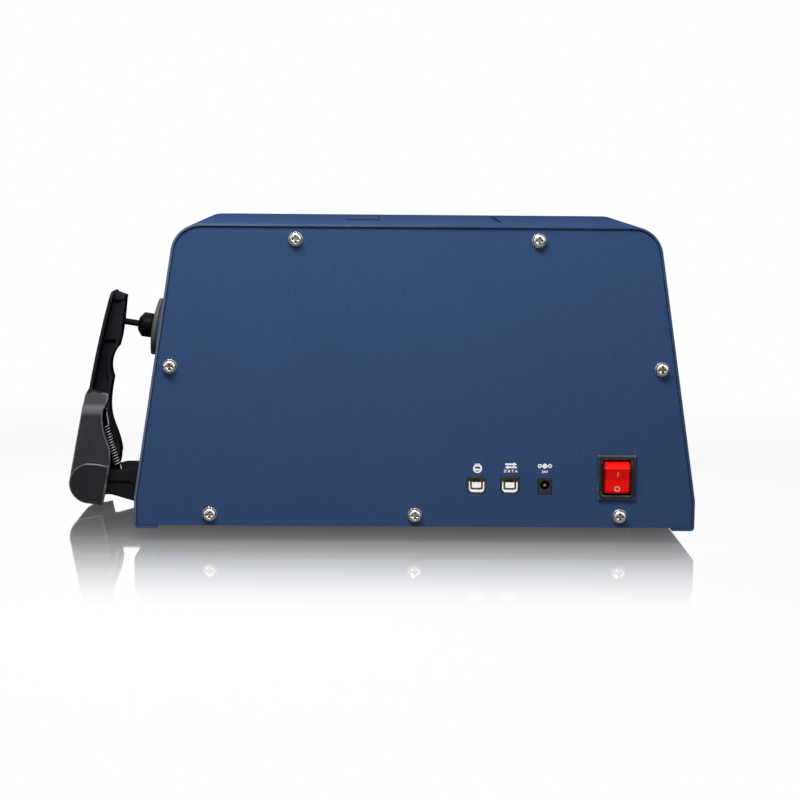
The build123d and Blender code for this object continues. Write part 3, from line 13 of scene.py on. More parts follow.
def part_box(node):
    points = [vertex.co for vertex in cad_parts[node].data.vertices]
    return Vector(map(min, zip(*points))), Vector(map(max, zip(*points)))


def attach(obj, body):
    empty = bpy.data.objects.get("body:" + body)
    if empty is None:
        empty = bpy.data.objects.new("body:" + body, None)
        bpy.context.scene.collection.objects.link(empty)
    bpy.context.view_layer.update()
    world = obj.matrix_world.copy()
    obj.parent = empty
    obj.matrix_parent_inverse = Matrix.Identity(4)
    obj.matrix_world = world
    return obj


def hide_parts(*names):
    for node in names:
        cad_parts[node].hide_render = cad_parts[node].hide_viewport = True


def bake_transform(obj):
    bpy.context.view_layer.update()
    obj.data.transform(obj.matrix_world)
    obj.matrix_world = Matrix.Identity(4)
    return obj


MM = 0.001
X, Y, Z = range(3)

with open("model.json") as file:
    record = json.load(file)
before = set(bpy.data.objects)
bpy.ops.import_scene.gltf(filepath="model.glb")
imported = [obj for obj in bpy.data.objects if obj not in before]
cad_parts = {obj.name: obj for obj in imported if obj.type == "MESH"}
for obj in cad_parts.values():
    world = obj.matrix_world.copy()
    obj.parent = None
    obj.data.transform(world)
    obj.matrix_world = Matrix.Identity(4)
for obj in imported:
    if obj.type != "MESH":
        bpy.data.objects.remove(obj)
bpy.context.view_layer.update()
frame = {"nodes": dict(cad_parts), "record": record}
nodes = frame["nodes"]
bodies = frame["record"]["behaviour"]["bodies"]
body_of = {node: body for body, members in bodies.items() for node in members}
slot_of = {part["node"]: part["material_slot"] for part in frame["record"]["subparts"]}


def middle(node):
    """The middle of a node's box, in metres."""
    low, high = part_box(node)
    return [(low[axis] + high[axis]) / 2 for axis in (X, Y, Z)]


# ---- Shader helpers ----

def tone(code):
    """An sRGB hex colour as linear RGBA."""
    parts = [int(code[i:i + 2], 16) / 255 for i in (1, 3, 5)]
    return [p / 12.92 if p <= 0.04045 else ((p + 0.055) / 1.055) ** 2.4 for p in parts] + [1.0]


def add(tree, kind, values=None, links=None, **settings):
    """One shader node, with its settings, its plain input values and the outputs that feed it."""
    new = tree.nodes.new(kind)
    for key, value in settings.items():
        setattr(new, key, value)
    for key, value in (values or {}).items():
        new.inputs[key].default_value = value
    for key, source in (links or {}).items():
        tree.links.new(source, new.inputs[key])
    return new


def empty_material(name):
    """A material with no nodes yet, and its node tree."""
    material = bpy.data.materials.new(name)
    material.use_nodes = True
    material.node_tree.nodes.clear()
    return material, material.node_tree


def distance_along(tree, place, axis, level):
    """How far a point lies from a level, in metres, along one axis: |coordinate - level|."""
    axes = add(tree, "ShaderNodeSeparateXYZ", links={0: place.outputs["Object"]})
    off = add(tree, "ShaderNodeMath", {1: level}, {0: axes.outputs[axis]}, operation="SUBTRACT")
    return add(tree, "ShaderNodeMath", links={0: off.outputs[0]}, operation="ABSOLUTE")


# ---- Camera, surroundings, floor and lamps ----

CAMERA_AT = Vector((3.03, -1447.51, 262.59)) * MM
CAMERA_YAW = math.radians(0.722466)      # toward +X
CAMERA_PITCH = math.radians(7.332766)    # downward
CAMERA_ROLL = math.radians(0.480607)
FRAME_PIXELS = 800
FOCAL_PIXELS = 2001.766
SENSOR = 36.0                            # mm across
CAMERA_SIGHT = 20.0                      # m


def camera_axes():
    """The camera's right, up and forward directions, from its yaw, pitch and roll."""
    yaw, pitch, roll = CAMERA_YAW, CAMERA_PITCH, CAMERA_ROLL
    forward = Vector((math.sin(yaw) * math.cos(pitch), math.cos(yaw) * math.cos(pitch), -math.sin(pitch)))
    level = Vector((math.cos(yaw), -math.sin(yaw), 0))
    upward = level.cross(forward)
    right = math.cos(roll) * level + math.sin(roll) * upward
    up = math.cos(roll) * upward - math.sin(roll) * level
    return right, up, forward


def add_camera():
    """The camera, whose lens is its focal length in pixels times the sensor's width over the frame's."""
    right, up, forward = camera_axes()
    data = bpy.data.cameras.new("camera")
    data.sensor_width = SENSOR
    data.sensor_fit = "HORIZONTAL"
    data.lens = FOCAL_PIXELS / FRAME_PIXELS * SENSOR
    data.clip_end = CAMERA_SIGHT
    camera = bpy.data.objects.new("camera", data)
    turn = Matrix((right, up, -forward)).transposed().to_4x4()
    camera.matrix_world = Matrix.Translation(CAMERA_AT) @ turn
    bpy.context.scene.collection.objects.link(camera)
    bpy.context.scene.camera = camera


def add_lamp(name, place, aim, size, power, mirrored=True):
    """A rectangular soft box at place, turned to aim, in metres and watts. Gloss shows it if mirrored."""
    data = bpy.data.lights.new(name, "AREA")
    data.shape = "RECTANGLE"
    data.size, data.size_y = size
    data.energy = power
    lamp = bpy.data.objects.new(name, data)
    direction = Vector(aim) - Vector(place)
    turn = direction.to_track_quat("-Z", "Y").to_matrix().to_4x4()
    lamp.matrix_world = Matrix.Translation(Vector(place)) @ turn
    lamp.visible_glossy = mirrored
    bpy.context.scene.collection.objects.link(lamp)


WORLD_LIGHT = 0.18      # strength at which the white surroundings light the part


def add_world():
    """Even white surroundings: full white to the camera, in reflections and through glass, weak as light."""
    world = bpy.data.worlds.new("studio")
    world.use_nodes = True
    tree = world.node_tree
    tree.nodes.clear()
    path = add(tree, "ShaderNodeLightPath")
    seen = add(tree, "ShaderNodeMath", operation="MAXIMUM",
               links={0: path.outputs["Is Camera Ray"], 1: path.outputs["Is Transmission Ray"]})
    shown = add(tree, "ShaderNodeMath", operation="MAXIMUM",
                links={0: seen.outputs[0], 1: path.outputs["Is Glossy Ray"]})
    strength = add(tree, "ShaderNodeMapRange", {"To Min": WORLD_LIGHT, "To Max": 1.0},
                   {"Value": shown.outputs[0]})
    back = add(tree, "ShaderNodeBackground", {"Color": (1, 1, 1, 1)}, {"Strength": strength.outputs[0]})
    add(tree, "ShaderNodeOutputWorld", links={"Surface": back.outputs[0]})
    bpy.context.scene.world = world


FLOOR_HALF = 4.0                       # m, half the sheet's side
POLISH_CENTRE = (-0.02, -0.005, 0)     # m, middle of the part's stand, clamp and all
POLISH_HALF = (0.21, 0.065, 1)         # m, half its length and depth
POLISH_REACH = 0.28                    # m, the polish has worn away this far out
POLISH_SHARE = 0.9                     # of the view that the fresh polish mirrors
GLOW_SHARE = 0.72                      # of the view that is plain white at the part, all of it far out
FLOOR_SEEN = 0.86                      # the sheet's own brightness to the camera
FLOOR_BOUNCE = 0.3                     # and toward the part, so that little light comes up from it


def add_floor():
    """A white acrylic sheet, polished where the part stands and matt further out.

    The polish follows the distance to a rectangle: the length of whatever part of the offset lies
    outside it, turned into a smooth step."""
    half = FLOOR_HALF
    mesh = bpy.data.meshes.new("floor")
    corners = [(-half, -half, 0), (half, -half, 0), (half, half, 0), (-half, half, 0)]
    mesh.from_pydata(corners, [], [(0, 1, 2, 3)])
    floor = bpy.data.objects.new("floor", mesh)
    bpy.context.scene.collection.objects.link(floor)
    material, tree = empty_material("white_acrylic_sheet")
    place = add(tree, "ShaderNodeTexCoord")
    offset = add(tree, "ShaderNodeVectorMath", {1: POLISH_CENTRE}, {0: place.outputs["Object"]},
                 operation="SUBTRACT")
    away = add(tree, "ShaderNodeVectorMath", links={0: offset.outputs[0]}, operation="ABSOLUTE")
    beyond = add(tree, "ShaderNodeVectorMath", {1: POLISH_HALF}, {0: away.outputs[0]}, operation="SUBTRACT")
    outside = add(tree, "ShaderNodeVectorMath", {1: (0, 0, 0)}, {0: beyond.outputs[0]}, operation="MAXIMUM")
    far = add(tree, "ShaderNodeVectorMath", links={0: outside.outputs[0]}, operation="LENGTH")
    polish = add(tree, "ShaderNodeMapRange",
                 {"From Max": POLISH_REACH, "To Min": POLISH_SHARE, "To Max": 0.0},
                 {"Value": far.outputs["Value"]}, interpolation_type="SMOOTHSTEP")
    glow = add(tree, "ShaderNodeMapRange", {"From Max": 2 * POLISH_REACH, "To Min": GLOW_SHARE},
               {"Value": far.outputs["Value"]})
    path = add(tree, "ShaderNodeLightPath")
    mirrored = add(tree, "ShaderNodeMath", links={0: polish.outputs[0], 1: path.outputs["Is Camera Ray"]},
                   operation="MULTIPLY")
    seen = add(tree, "ShaderNodeMath", links={0: glow.outputs[0], 1: path.outputs["Is Camera Ray"]},
               operation="MULTIPLY")
    bounce = add(tree, "ShaderNodeMapRange", {"To Min": FLOOR_BOUNCE, "To Max": FLOOR_SEEN},
                 {"Value": path.outputs["Is Camera Ray"]})
    matt = add(tree, "ShaderNodeBsdfDiffuse", links={"Color": bounce.outputs[0]})
    white = add(tree, "ShaderNodeEmission", {"Color": (1, 1, 1, 1), "Strength": 1.0})
    sheet = add(tree, "ShaderNodeMixShader", links={"Fac": seen.outputs[0], 1: matt.outputs[0],
                                                    2: white.outputs[0]})
    gloss = add(tree, "ShaderNodeBsdfGlossy", {"Color": (1, 1, 1, 1), "Roughness": 0.05})
    top = add(tree, "ShaderNodeMixShader", links={"Fac": mirrored.outputs[0], 1: sheet.outputs[0],
                                                  2: gloss.outputs[0]})
    add(tree, "ShaderNodeOutputMaterial", links={"Surface": top.outputs[0]})
    mesh.materials.append(material)


add_camera()
add_world()
add_floor()
add_lamp("key", (-0.14, -0.54, 0.8), (0.0, -0.14, 0.13), (0.6, 0.22), 7.7)
add_lamp("fill", (1.0, -1.1, 0.7), (0.0, -0.1, 0.1), (0.8, 0.8), 2.4)
add_lamp("overhead", (-0.5, 0.1, 1.2), (-0.05, 0.0, 0.0), (0.8, 0.8), 0.35)
add_lamp("behind", (0.3, 1.3, 0.3), (0.0, 0.15, 0.1), (1.2, 0.4), 8, mirrored=False)


# ---- Materials ----

def finish(name, low, high, roughness, cloud, grain, bump, metallic=0.0, coat=0.0, shine=0.5,
           painted_glow=0.0):
    """A worked surface: two tones in clouds, a raised grain, and gloss that follows both.

    cloud and grain are their sizes in mm, the grain's a few times the real one, which is too fine to show.
    roughness is its lowest and highest value, bump the grain's height in mm, and the last argument a painted
    glow: emission that shows the surface brighter than the light that falls on it, though it is no lamp."""
    material, tree = empty_material(name)
    place = add(tree, "ShaderNodeTexCoord")
    clouds = add(tree, "ShaderNodeTexNoise", {"Scale": 1 / (cloud * MM), "Detail": 4.0, "Roughness": 0.6},
                 {"Vector": place.outputs["Object"]})
    grains = add(tree, "ShaderNodeTexNoise", {"Scale": 1 / (grain * MM), "Detail": 3.0, "Roughness": 0.65},
                 {"Vector": place.outputs["Object"]})
    both = add(tree, "ShaderNodeMix", {0: 0.45}, {2: clouds.outputs[0], 3: grains.outputs[0]},
               data_type="FLOAT")
    spread = add(tree, "ShaderNodeMapRange", {"From Min": 0.3, "From Max": 0.7}, {"Value": both.outputs[0]})
    colour = add(tree, "ShaderNodeMix", {6: tone(low), 7: tone(high)}, {0: spread.outputs[0]},
                 data_type="RGBA")
    gloss = add(tree, "ShaderNodeMapRange", {"To Min": roughness[0], "To Max": roughness[1]},
                {"Value": spread.outputs[0]})
    relief = add(tree, "ShaderNodeBump", {"Strength": 1.0, "Distance": bump * MM},
                 {"Height": grains.outputs[0]})
    # Painted glow: the surface's own colour is emitted at the last argument's strength.
    shader = add(tree, "ShaderNodeBsdfPrincipled",
                 {"Metallic": metallic, "Coat Weight": coat, "Specular IOR Level": shine,
                  "Emission Strength": painted_glow},
                 {"Base Color": colour.outputs[2], "Roughness": gloss.outputs[0],
                  "Normal": relief.outputs[0], "Emission Color": colour.outputs[2]})
    add(tree, "ShaderNodeOutputMaterial", links={"Surface": shader.outputs[0]})
    return material


def edge_highlight_share(tree, place, clouds, edge):
    """How much painted highlight pales the coat before a cut edge at the world Y edge, in mm.

    The share grows over the last 2.2 mm before the edge, in patches. It is largest on the clamp's side (-X)
    and smallest on the hem, below 26 mm."""
    axes = add(tree, "ShaderNodeSeparateXYZ", links={0: place.outputs["Object"]})
    share = add(tree, "ShaderNodeMapRange", {"From Min": (edge + 2.2) * MM, "From Max": (edge + 0.2) * MM},
                {"Value": axes.outputs["Y"]})
    patchy = add(tree, "ShaderNodeMapRange",
                 {"From Min": 0.3, "From Max": 0.7, "To Min": 0.25, "To Max": 0.6},
                 {"Value": clouds.outputs[0]})
    toward_clamp_side = add(tree, "ShaderNodeMapRange", {"From Min": 80 * MM, "From Max": -140 * MM, "To Min": 0.08},
                  {"Value": axes.outputs["X"]})
    above_hem = add(tree, "ShaderNodeMapRange", {"From Min": 12 * MM, "From Max": 26 * MM, "To Min": 0.1},
                    {"Value": axes.outputs["Z"]})
    for factor in (patchy, toward_clamp_side, above_hem):
        share = add(tree, "ShaderNodeMath", links={0: share.outputs[0], 1: factor.outputs[0]},
                    operation="MULTIPLY")
    return share


def powder_coat(name, edge=None):
    """Polyester powder coat, baked on steel: a dead matt pebbled skin with a slightly cloudy tone.

    The clouds are 60 mm across, and the skin mixes pebbles of 0.9 mm with a grain of 0.5 mm. edge is the
    world Y, in mm, of a cut edge, before which a painted highlight pales the coat to a light grey-blue."""
    material, tree = empty_material(name)
    place = add(tree, "ShaderNodeTexCoord")
    clouds = add(tree, "ShaderNodeTexNoise", {"Scale": 1 / (60 * MM), "Detail": 3.0},
                 {"Vector": place.outputs["Object"]})
    pebble = add(tree, "ShaderNodeTexVoronoi", {"Scale": 1 / (0.9 * MM)},
                 {"Vector": place.outputs["Object"]}, feature="SMOOTH_F1")
    grains = add(tree, "ShaderNodeTexNoise", {"Scale": 1 / (0.5 * MM), "Detail": 2.0},
                 {"Vector": place.outputs["Object"]})
    skin = add(tree, "ShaderNodeMix", {0: 0.5}, {2: pebble.outputs[0], 3: grains.outputs[0]},
               data_type="FLOAT")
    base = add(tree, "ShaderNodeMix", {6: tone("#30456A"), 7: tone("#364C74")}, {0: clouds.outputs[0]},
               data_type="RGBA")
    pores = add(tree, "ShaderNodeMapRange", {"From Min": 0.25, "From Max": 0.7}, {"Value": skin.outputs[0]})
    colour = add(tree, "ShaderNodeMix", {7: tone("#3F567F")}, {0: pores.outputs[0], 6: base.outputs[2]},
                 data_type="RGBA")
    # Painted highlight: a light grey-blue along the cut edge.
    if edge is not None:
        edge_highlight = edge_highlight_share(tree, place, clouds, edge)
        colour = add(tree, "ShaderNodeMix", {7: tone("#7C8798")},
                     {0: edge_highlight.outputs[0], 6: colour.outputs[2]}, data_type="RGBA")
    gloss = add(tree, "ShaderNodeMapRange", {"To Min": 0.8, "To Max": 0.95}, {"Value": pores.outputs[0]})
    relief = add(tree, "ShaderNodeBump", {"Strength": 0.5, "Distance": 0.05 * MM},
                 {"Height": skin.outputs[0]})
    shader = add(tree, "ShaderNodeBsdfPrincipled", {"Specular IOR Level": 0.0},
                 {"Base Color": colour.outputs[2], "Roughness": gloss.outputs[0],
                  "Normal": relief.outputs[0]})
    add(tree, "ShaderNodeOutputMaterial", links={"Surface": shader.outputs[0]})
    return material


def painted_highlight_share(tree, place, highlight_height):
    """How much painted highlight pales a skin.

    That is along the outward edges, which Pointiness finds, in patches 9 mm across. Fainter, it is in a band
    that fades out over 5 mm from a given height, in mm, where one is given."""
    # Painted highlight along the outward edges, where light would catch their rounding.
    form = add(tree, "ShaderNodeNewGeometry")
    edge = add(tree, "ShaderNodeMapRange", {"From Min": 0.505, "From Max": 0.545},
               {"Value": form.outputs["Pointiness"]})
    streaks = add(tree, "ShaderNodeTexNoise", {"Scale": 1 / (9 * MM), "Detail": 2.0},
                  {"Vector": place.outputs["Object"]})
    patches = add(tree, "ShaderNodeMapRange", {"From Min": 0.35, "From Max": 0.6, "To Min": 0.3},
                  {"Value": streaks.outputs[0]})
    painted_light_share = add(tree, "ShaderNodeMath", links={0: edge.outputs[0], 1: patches.outputs[0]},
               operation="MULTIPLY")
    if highlight_height is None:
        return painted_light_share
    # Painted highlight in a band, where a bulge would catch the light.
    aside = distance_along(tree, place, Z, highlight_height * MM)
    band = add(tree, "ShaderNodeMapRange", {"From Min": 5 * MM, "From Max": 1 * MM, "To Max": 0.4},
               {"Value": aside.outputs[0]}, interpolation_type="SMOOTHSTEP")
    return add(tree, "ShaderNodeMath", links={0: painted_light_share.outputs[0], 1: band.outputs[0]},
               operation="MAXIMUM")


def moulded(name, low, high, roughness, pit, shine=0.15, highlight_tone=None, highlight_height=None):
    """Moulded thermoplastic: flow clouds 22 mm across, under a skin of pits left by the spark-eroded mould.

    pit is the pits' spacing in mm, a few times the real one, which is too fine to show. The last two
    arguments give a painted highlight: a paler tone on the outer edges, and at a given height."""
    material, tree = empty_material(name)
    place = add(tree, "ShaderNodeTexCoord")
    flow = add(tree, "ShaderNodeTexNoise",
               {"Scale": 1 / (22 * MM), "Detail": 4.0, "Roughness": 0.55, "Distortion": 0.6},
               {"Vector": place.outputs["Object"]})
    pits = add(tree, "ShaderNodeTexVoronoi", {"Scale": 1 / (pit * MM), "Smoothness": 0.6},
               {"Vector": place.outputs["Object"]}, feature="SMOOTH_F1")
    spread = add(tree, "ShaderNodeMapRange", {"From Min": 0.32, "From Max": 0.68},
                 {"Value": flow.outputs[0]})
    colour = add(tree, "ShaderNodeMix", {6: tone(low), 7: tone(high)}, {0: spread.outputs[0]},
                 data_type="RGBA")
    # Painted highlight: the paler tone laid over the edges and the band.
    if highlight_tone:
        painted_light_share = painted_highlight_share(tree, place, highlight_height)
        colour = add(tree, "ShaderNodeMix", {7: tone(highlight_tone)}, {0: painted_light_share.outputs[0], 6: colour.outputs[2]},
                     data_type="RGBA")
    gloss = add(tree, "ShaderNodeMapRange",
                {"From Min": 0.1, "From Max": 0.6, "To Min": roughness[0], "To Max": roughness[1]},
                {"Value": pits.outputs[0]})
    relief = add(tree, "ShaderNodeBump", {"Strength": 0.5, "Distance": 0.12 * pit * MM},
                 {"Height": pits.outputs[0]})
    shader = add(tree, "ShaderNodeBsdfPrincipled", {"Specular IOR Level": shine},
                 {"Base Color": colour.outputs[2], "Roughness": gloss.outputs[0],
                  "Normal": relief.outputs[0]})
    add(tree, "ShaderNodeOutputMaterial", links={"Surface": shader.outputs[0]})
    return material


def plated(name, low, high, roughness, line, recess_shade_reach):
    """Plated or drawn metal: faint working lines across the height, dull spots, and painted shade in the
    recesses.

    line is the lines' spacing in mm, several times the real one, which is too fine to show. The lines are
    drawn out eight times as long. The last argument is the reach in mm of the painted shade, over which
    ambient occlusion darkens a nook toward near black."""
    material, tree = empty_material(name)
    place = add(tree, "ShaderNodeTexCoord")
    drawn = add(tree, "ShaderNodeMapping", {"Scale": (0.12, 0.12, 1)}, {"Vector": place.outputs["Object"]})
    lines = add(tree, "ShaderNodeTexNoise", {"Scale": 1 / (line * MM), "Detail": 3.0, "Roughness": 0.7},
                {"Vector": drawn.outputs[0]})
    spots = add(tree, "ShaderNodeTexNoise", {"Scale": 1 / (3 * MM), "Detail": 3.0, "Roughness": 0.6},
                {"Vector": place.outputs["Object"]})
    both = add(tree, "ShaderNodeMix", {0: 0.5}, {2: lines.outputs[0], 3: spots.outputs[0]},
               data_type="FLOAT")
    spread = add(tree, "ShaderNodeMapRange", {"From Min": 0.32, "From Max": 0.68},
                 {"Value": both.outputs[0]})
    metal = add(tree, "ShaderNodeMix", {6: tone(low), 7: tone(high)}, {0: spread.outputs[0]},
                data_type="RGBA")
    # Painted shade: where ambient occlusion finds walls near, the metal's colour darkens toward near black.
    occlusion_shade = add(tree, "ShaderNodeAmbientOcclusion", {"Distance": recess_shade_reach * MM}, samples=8)
    unshaded = add(tree, "ShaderNodeMapRange", {"From Min": 0.25, "From Max": 0.85},
                {"Value": occlusion_shade.outputs["AO"]})
    colour = add(tree, "ShaderNodeMix", {6: tone("#1B1916")}, {0: unshaded.outputs[0], 7: metal.outputs[2]},
                 data_type="RGBA")
    gloss = add(tree, "ShaderNodeMapRange", {"To Min": roughness[0], "To Max": roughness[1]},
                {"Value": spread.outputs[0]})
    relief = add(tree, "ShaderNodeBump", {"Strength": 1.0, "Distance": 0.004 * MM},
                 {"Height": lines.outputs[0]})
    shader = add(tree, "ShaderNodeBsdfPrincipled", {"Metallic": 1.0},
                 {"Base Color": colour.outputs[2], "Roughness": gloss.outputs[0],
                  "Normal": relief.outputs[0]})
    add(tree, "ShaderNodeOutputMaterial", links={"Surface": shader.outputs[0]})
    return material


def display_cover():
    """Cover glass, printed black behind its border: inside that the dark display shows, a shade lighter.

    The display's area is where |x - middle| and |z - middle| are both inside half the glass less its border,
    of 7.5 mm at the sides and 6 mm above and below."""
    material, tree = empty_material("cover_glass_dark")
    low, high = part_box("touch_glass")
    place = add(tree, "ShaderNodeTexCoord")
    insides = []
    for axis, border in ((X, 7.5), (Z, 6.0)):
        aside = distance_along(tree, place, axis, middle("touch_glass")[axis])
        half = (high[axis] - low[axis]) / 2
        insides.append(add(tree, "ShaderNodeMath", {1: half - border * MM}, {0: aside.outputs[0]},
                           operation="LESS_THAN"))
    shown = add(tree, "ShaderNodeMath", links={0: insides[0].outputs[0], 1: insides[1].outputs[0]},
                operation="MULTIPLY")
    smears = add(tree, "ShaderNodeTexNoise", {"Scale": 1 / (35 * MM), "Detail": 4.0, "Distortion": 1.2},
                 {"Vector": place.outputs["Object"]})
    colour = add(tree, "ShaderNodeMix", {6: tone("#050506"), 7: tone("#1F2328")}, {0: shown.outputs[0]},
                 data_type="RGBA")
    gloss = add(tree, "ShaderNodeMapRange",
                {"From Min": 0.35, "From Max": 0.7, "To Min": 0.03, "To Max": 0.06},
                {"Value": smears.outputs[0]})
    shader = add(tree, "ShaderNodeBsdfPrincipled", {"Specular IOR Level": 0.4},
                 {"Base Color": colour.outputs[2], "Roughness": gloss.outputs[0]})
    add(tree, "ShaderNodeOutputMaterial", links={"Surface": shader.outputs[0]})
    return material


def switch_plastic():
    """Clear red polycarbonate with a painted glow: it emits red light though it is no lamp. Painted shade
    turns it deep red in the nooks, which ambient occlusion finds, and over the side walls, 7.4 mm and more
    from the middle, and the glow fades there too."""
    material, tree = empty_material("polycarbonate_red")
    place = add(tree, "ShaderNodeTexCoord")
    flow = add(tree, "ShaderNodeTexNoise", {"Scale": 1 / (5 * MM), "Detail": 3.0},
               {"Vector": place.outputs["Object"]})
    colour = add(tree, "ShaderNodeMix", {6: tone("#DD0704"), 7: tone("#F4120A")}, {0: flow.outputs[0]},
                 data_type="RGBA")
    relief = add(tree, "ShaderNodeBump", {"Strength": 0.3, "Distance": 0.08 * MM},
                 {"Height": flow.outputs[0]})
    # Painted shade: ambient occlusion over 2.5 mm finds the nooks.
    clear = add(tree, "ShaderNodeAmbientOcclusion", {"Distance": 2.5 * MM}, samples=8)
    depth = add(tree, "ShaderNodeMapRange", {"From Min": 0.35, "From Max": 0.9},
                {"Value": clear.outputs["AO"]})
    # Painted shade over the side walls, beyond 7.4 mm from the middle.
    aside = distance_along(tree, place, X, middle("power_switch_rocker")[X])
    side_wall_shade = add(tree, "ShaderNodeMapRange", {"From Min": 8.2 * MM, "From Max": 7.4 * MM},
               {"Value": aside.outputs[0]})
    painted_lit_share = add(tree, "ShaderNodeMath", links={0: depth.outputs[0], 1: side_wall_shade.outputs[0]}, operation="MULTIPLY")
    shaded_red = add(tree, "ShaderNodeMix", {6: tone("#700706")}, {0: painted_lit_share.outputs[0], 7: colour.outputs[2]},
               data_type="RGBA")
    # Painted glow: emission up to 0.2 where no painted shade lies.
    glow = add(tree, "ShaderNodeMapRange", {"To Min": 0.0, "To Max": 0.2}, {"Value": painted_lit_share.outputs[0]})
    shader = add(tree, "ShaderNodeBsdfPrincipled",
                 {"Roughness": 0.28, "IOR": 1.58, "Specular IOR Level": 0.12, "Subsurface Weight": 0.15,
                  "Subsurface Scale": 1.0 * MM, "Subsurface Radius": (1.0, 0.1, 0.06)},
                 {"Base Color": shaded_red.outputs[2], "Emission Color": shaded_red.outputs[2],
                  "Emission Strength": glow.outputs[0], "Normal": relief.outputs[0]})
    add(tree, "ShaderNodeOutputMaterial", links={"Surface": shader.outputs[0]})
    return material


# The finish of each slot of the frame.
finishes = {
    "blue_powder_coat": powder_coat("powder_coat_blue"),
    # Spark-eroded ABS mould skin: near black, with fine even pits and a soft sheen.
    "black_plastic": moulded("moulded_abs_black", "#141517", "#1C1D1F", (0.42, 0.6), 0.7, shine=0.2),
    # Glass-filled nylon: a shade lighter, with coarser pits, and a painted highlight paling its edges.
    "charcoal_plastic": moulded("moulded_nylon_charcoal", "#212225", "#292A2D", (0.28, 0.42), 0.9,
                                shine=0.2, highlight_tone="#A2A4A8"),
    # Rubbery grey polyurethane of the pressing disc: matt and a little cloudy.
    "grey_disc": finish("cast_polyurethane_grey", "#55575A", "#626366", (0.5, 0.65), 8, 0.4, 0.04,
                        shine=0.2),
    "red_rocker": switch_plastic(),
    # Bright nickel plate on steel: faint turning lines, and painted shade darkening the recesses.
    "nickel": plated("nickel_plate", "#CFCAC1", "#F2EDE5", (0.12, 0.22), 0.5, 1.9),
    # Spring wire under a dull zinc plate: bright across each turn.
    "spring_steel": finish("zinc_plated_wire", "#B9B9B2", "#DEDED6", (0.34, 0.48), 2, 0.3, 0.006, 0.5),
    # Steel blacked in oil: almost no sheen.
    "blackened_steel": finish("oil_blacked_steel", "#08080A", "#111114", (0.4, 0.55), 6, 0.4, 0.01,
                              shine=0.06),
    # Moulded nitrile rubber: dull, with a fine tooth.
    "rubber": finish("nitrile_rubber", "#121212", "#1C1C1C", (0.62, 0.8), 6, 0.5, 0.06, shine=0.3),
    # Cover glass over a dark display: a sharp, dark mirror.
    "display_glass": display_cover(),
    # Painted backing of the display: smooth and nearly black.
    "display_black": finish("display_backing", "#0B0C0E", "#121417", (0.3, 0.4), 20, 0.6, 0.01),
    # Nylon, white, with a painted glow: it emits light, so it shows brighter than the light that falls on
    # it.
    "white_plastic": finish("moulded_nylon_white", "#F1F0EC", "#FAFAF7", (0.38, 0.5), 4, 0.4, 0.02,
                            painted_glow=0.22),
    # Green solder mask over copper: glossy and slightly uneven.
    "circuit_board": finish("solder_mask_green", "#0E3B22", "#1B5A34", (0.25, 0.4), 4, 1.2, 0.03),
    # Drawn brass: warm, with a soft mirror.
    "brass": finish("drawn_brass", "#B08A3E", "#CFAE5E", (0.22, 0.34), 3, 0.4, 0.01, 1.0),
    # Bead-blasted and anodised: a dry satin metal.
    "aluminium": finish("anodised_aluminium", "#9A9C9F", "#B4B6B8", (0.34, 0.46), 12, 0.4, 0.02, 1.0),
    # Sprayed barium sulphate: a dead matt white.
    "white_coating": finish("sprayed_white_coating", "#E6E5E0", "#F1F0EC", (0.9, 1.0), 12, 0.5, 0.05),
    # Ground and polished glass before a dark bore: pale, with a clear mirror.
    "optical_glass": finish("optical_glass", "#C8D2D4", "#D6DEDF", (0.02, 0.05), 30, 6, 0.001, coat=1.0),
    # Shrunk PVC sleeve: dark blue and smooth.
    "capacitor_sleeve": finish("shrunk_pvc_sleeve", "#16233D", "#1E2E4C", (0.25, 0.36), 10, 0.8, 0.02),
}
# Painted shade on the arm's ribbed inside: a darker tone, with no sheen.
arm_inside_shade = moulded("abs_arm_inside_painted_shade", "#26272B", "#2E2F33", (0.5, 0.6), 1.2, shine=0.0)
# Painted highlight on the spring's end hooks and legs: a matt near white with a painted glow, so they show
# lit where they lie in shade.
spring_ends_lit = finish("spring_ends_painted_highlight", "#E4E5E0", "#FAFAF7", (0.6, 0.8), 1.5, 0.3, 0.01, shine=0.2,
                     painted_glow=0.06)
# Painted shade on the inner side of the coil, dark between the turns.
spring_coil_shade = finish("spring_coil_painted_shade", "#0B0A08", "#15130F", (0.5, 0.7), 1.5, 0.3, 0.02, shine=0.1)
# Screen ink, full and flat: a clean white that stands off the blue, lifted by a painted glow.
white_print = finish("screen_printed_white", "#F2F5FA", "#FBFCFF", (0.4, 0.55), 1.2, 0.3, 0.01,
                     painted_glow=0.12)
# Pad ink on the red rocker, coloured a pale pink.
rocker_print = finish("pad_printed_pink_white", "#FF9A94", "#FFB0AA", (0.4, 0.5), 1.2, 0.3, 0.005)
# Aged PBT deep in the sockets' mouths: a dull olive grey.
socket_dark = moulded("moulded_pbt_olive", "#6A6658", "#787366", (0.5, 0.65), 0.6)
# Contacts: two black bars over each tongue.
contact_black = finish("contact_black_bars", "#0A0A08", "#141310", (0.4, 0.6), 1.0, 0.3, 0.01, shine=0.1)

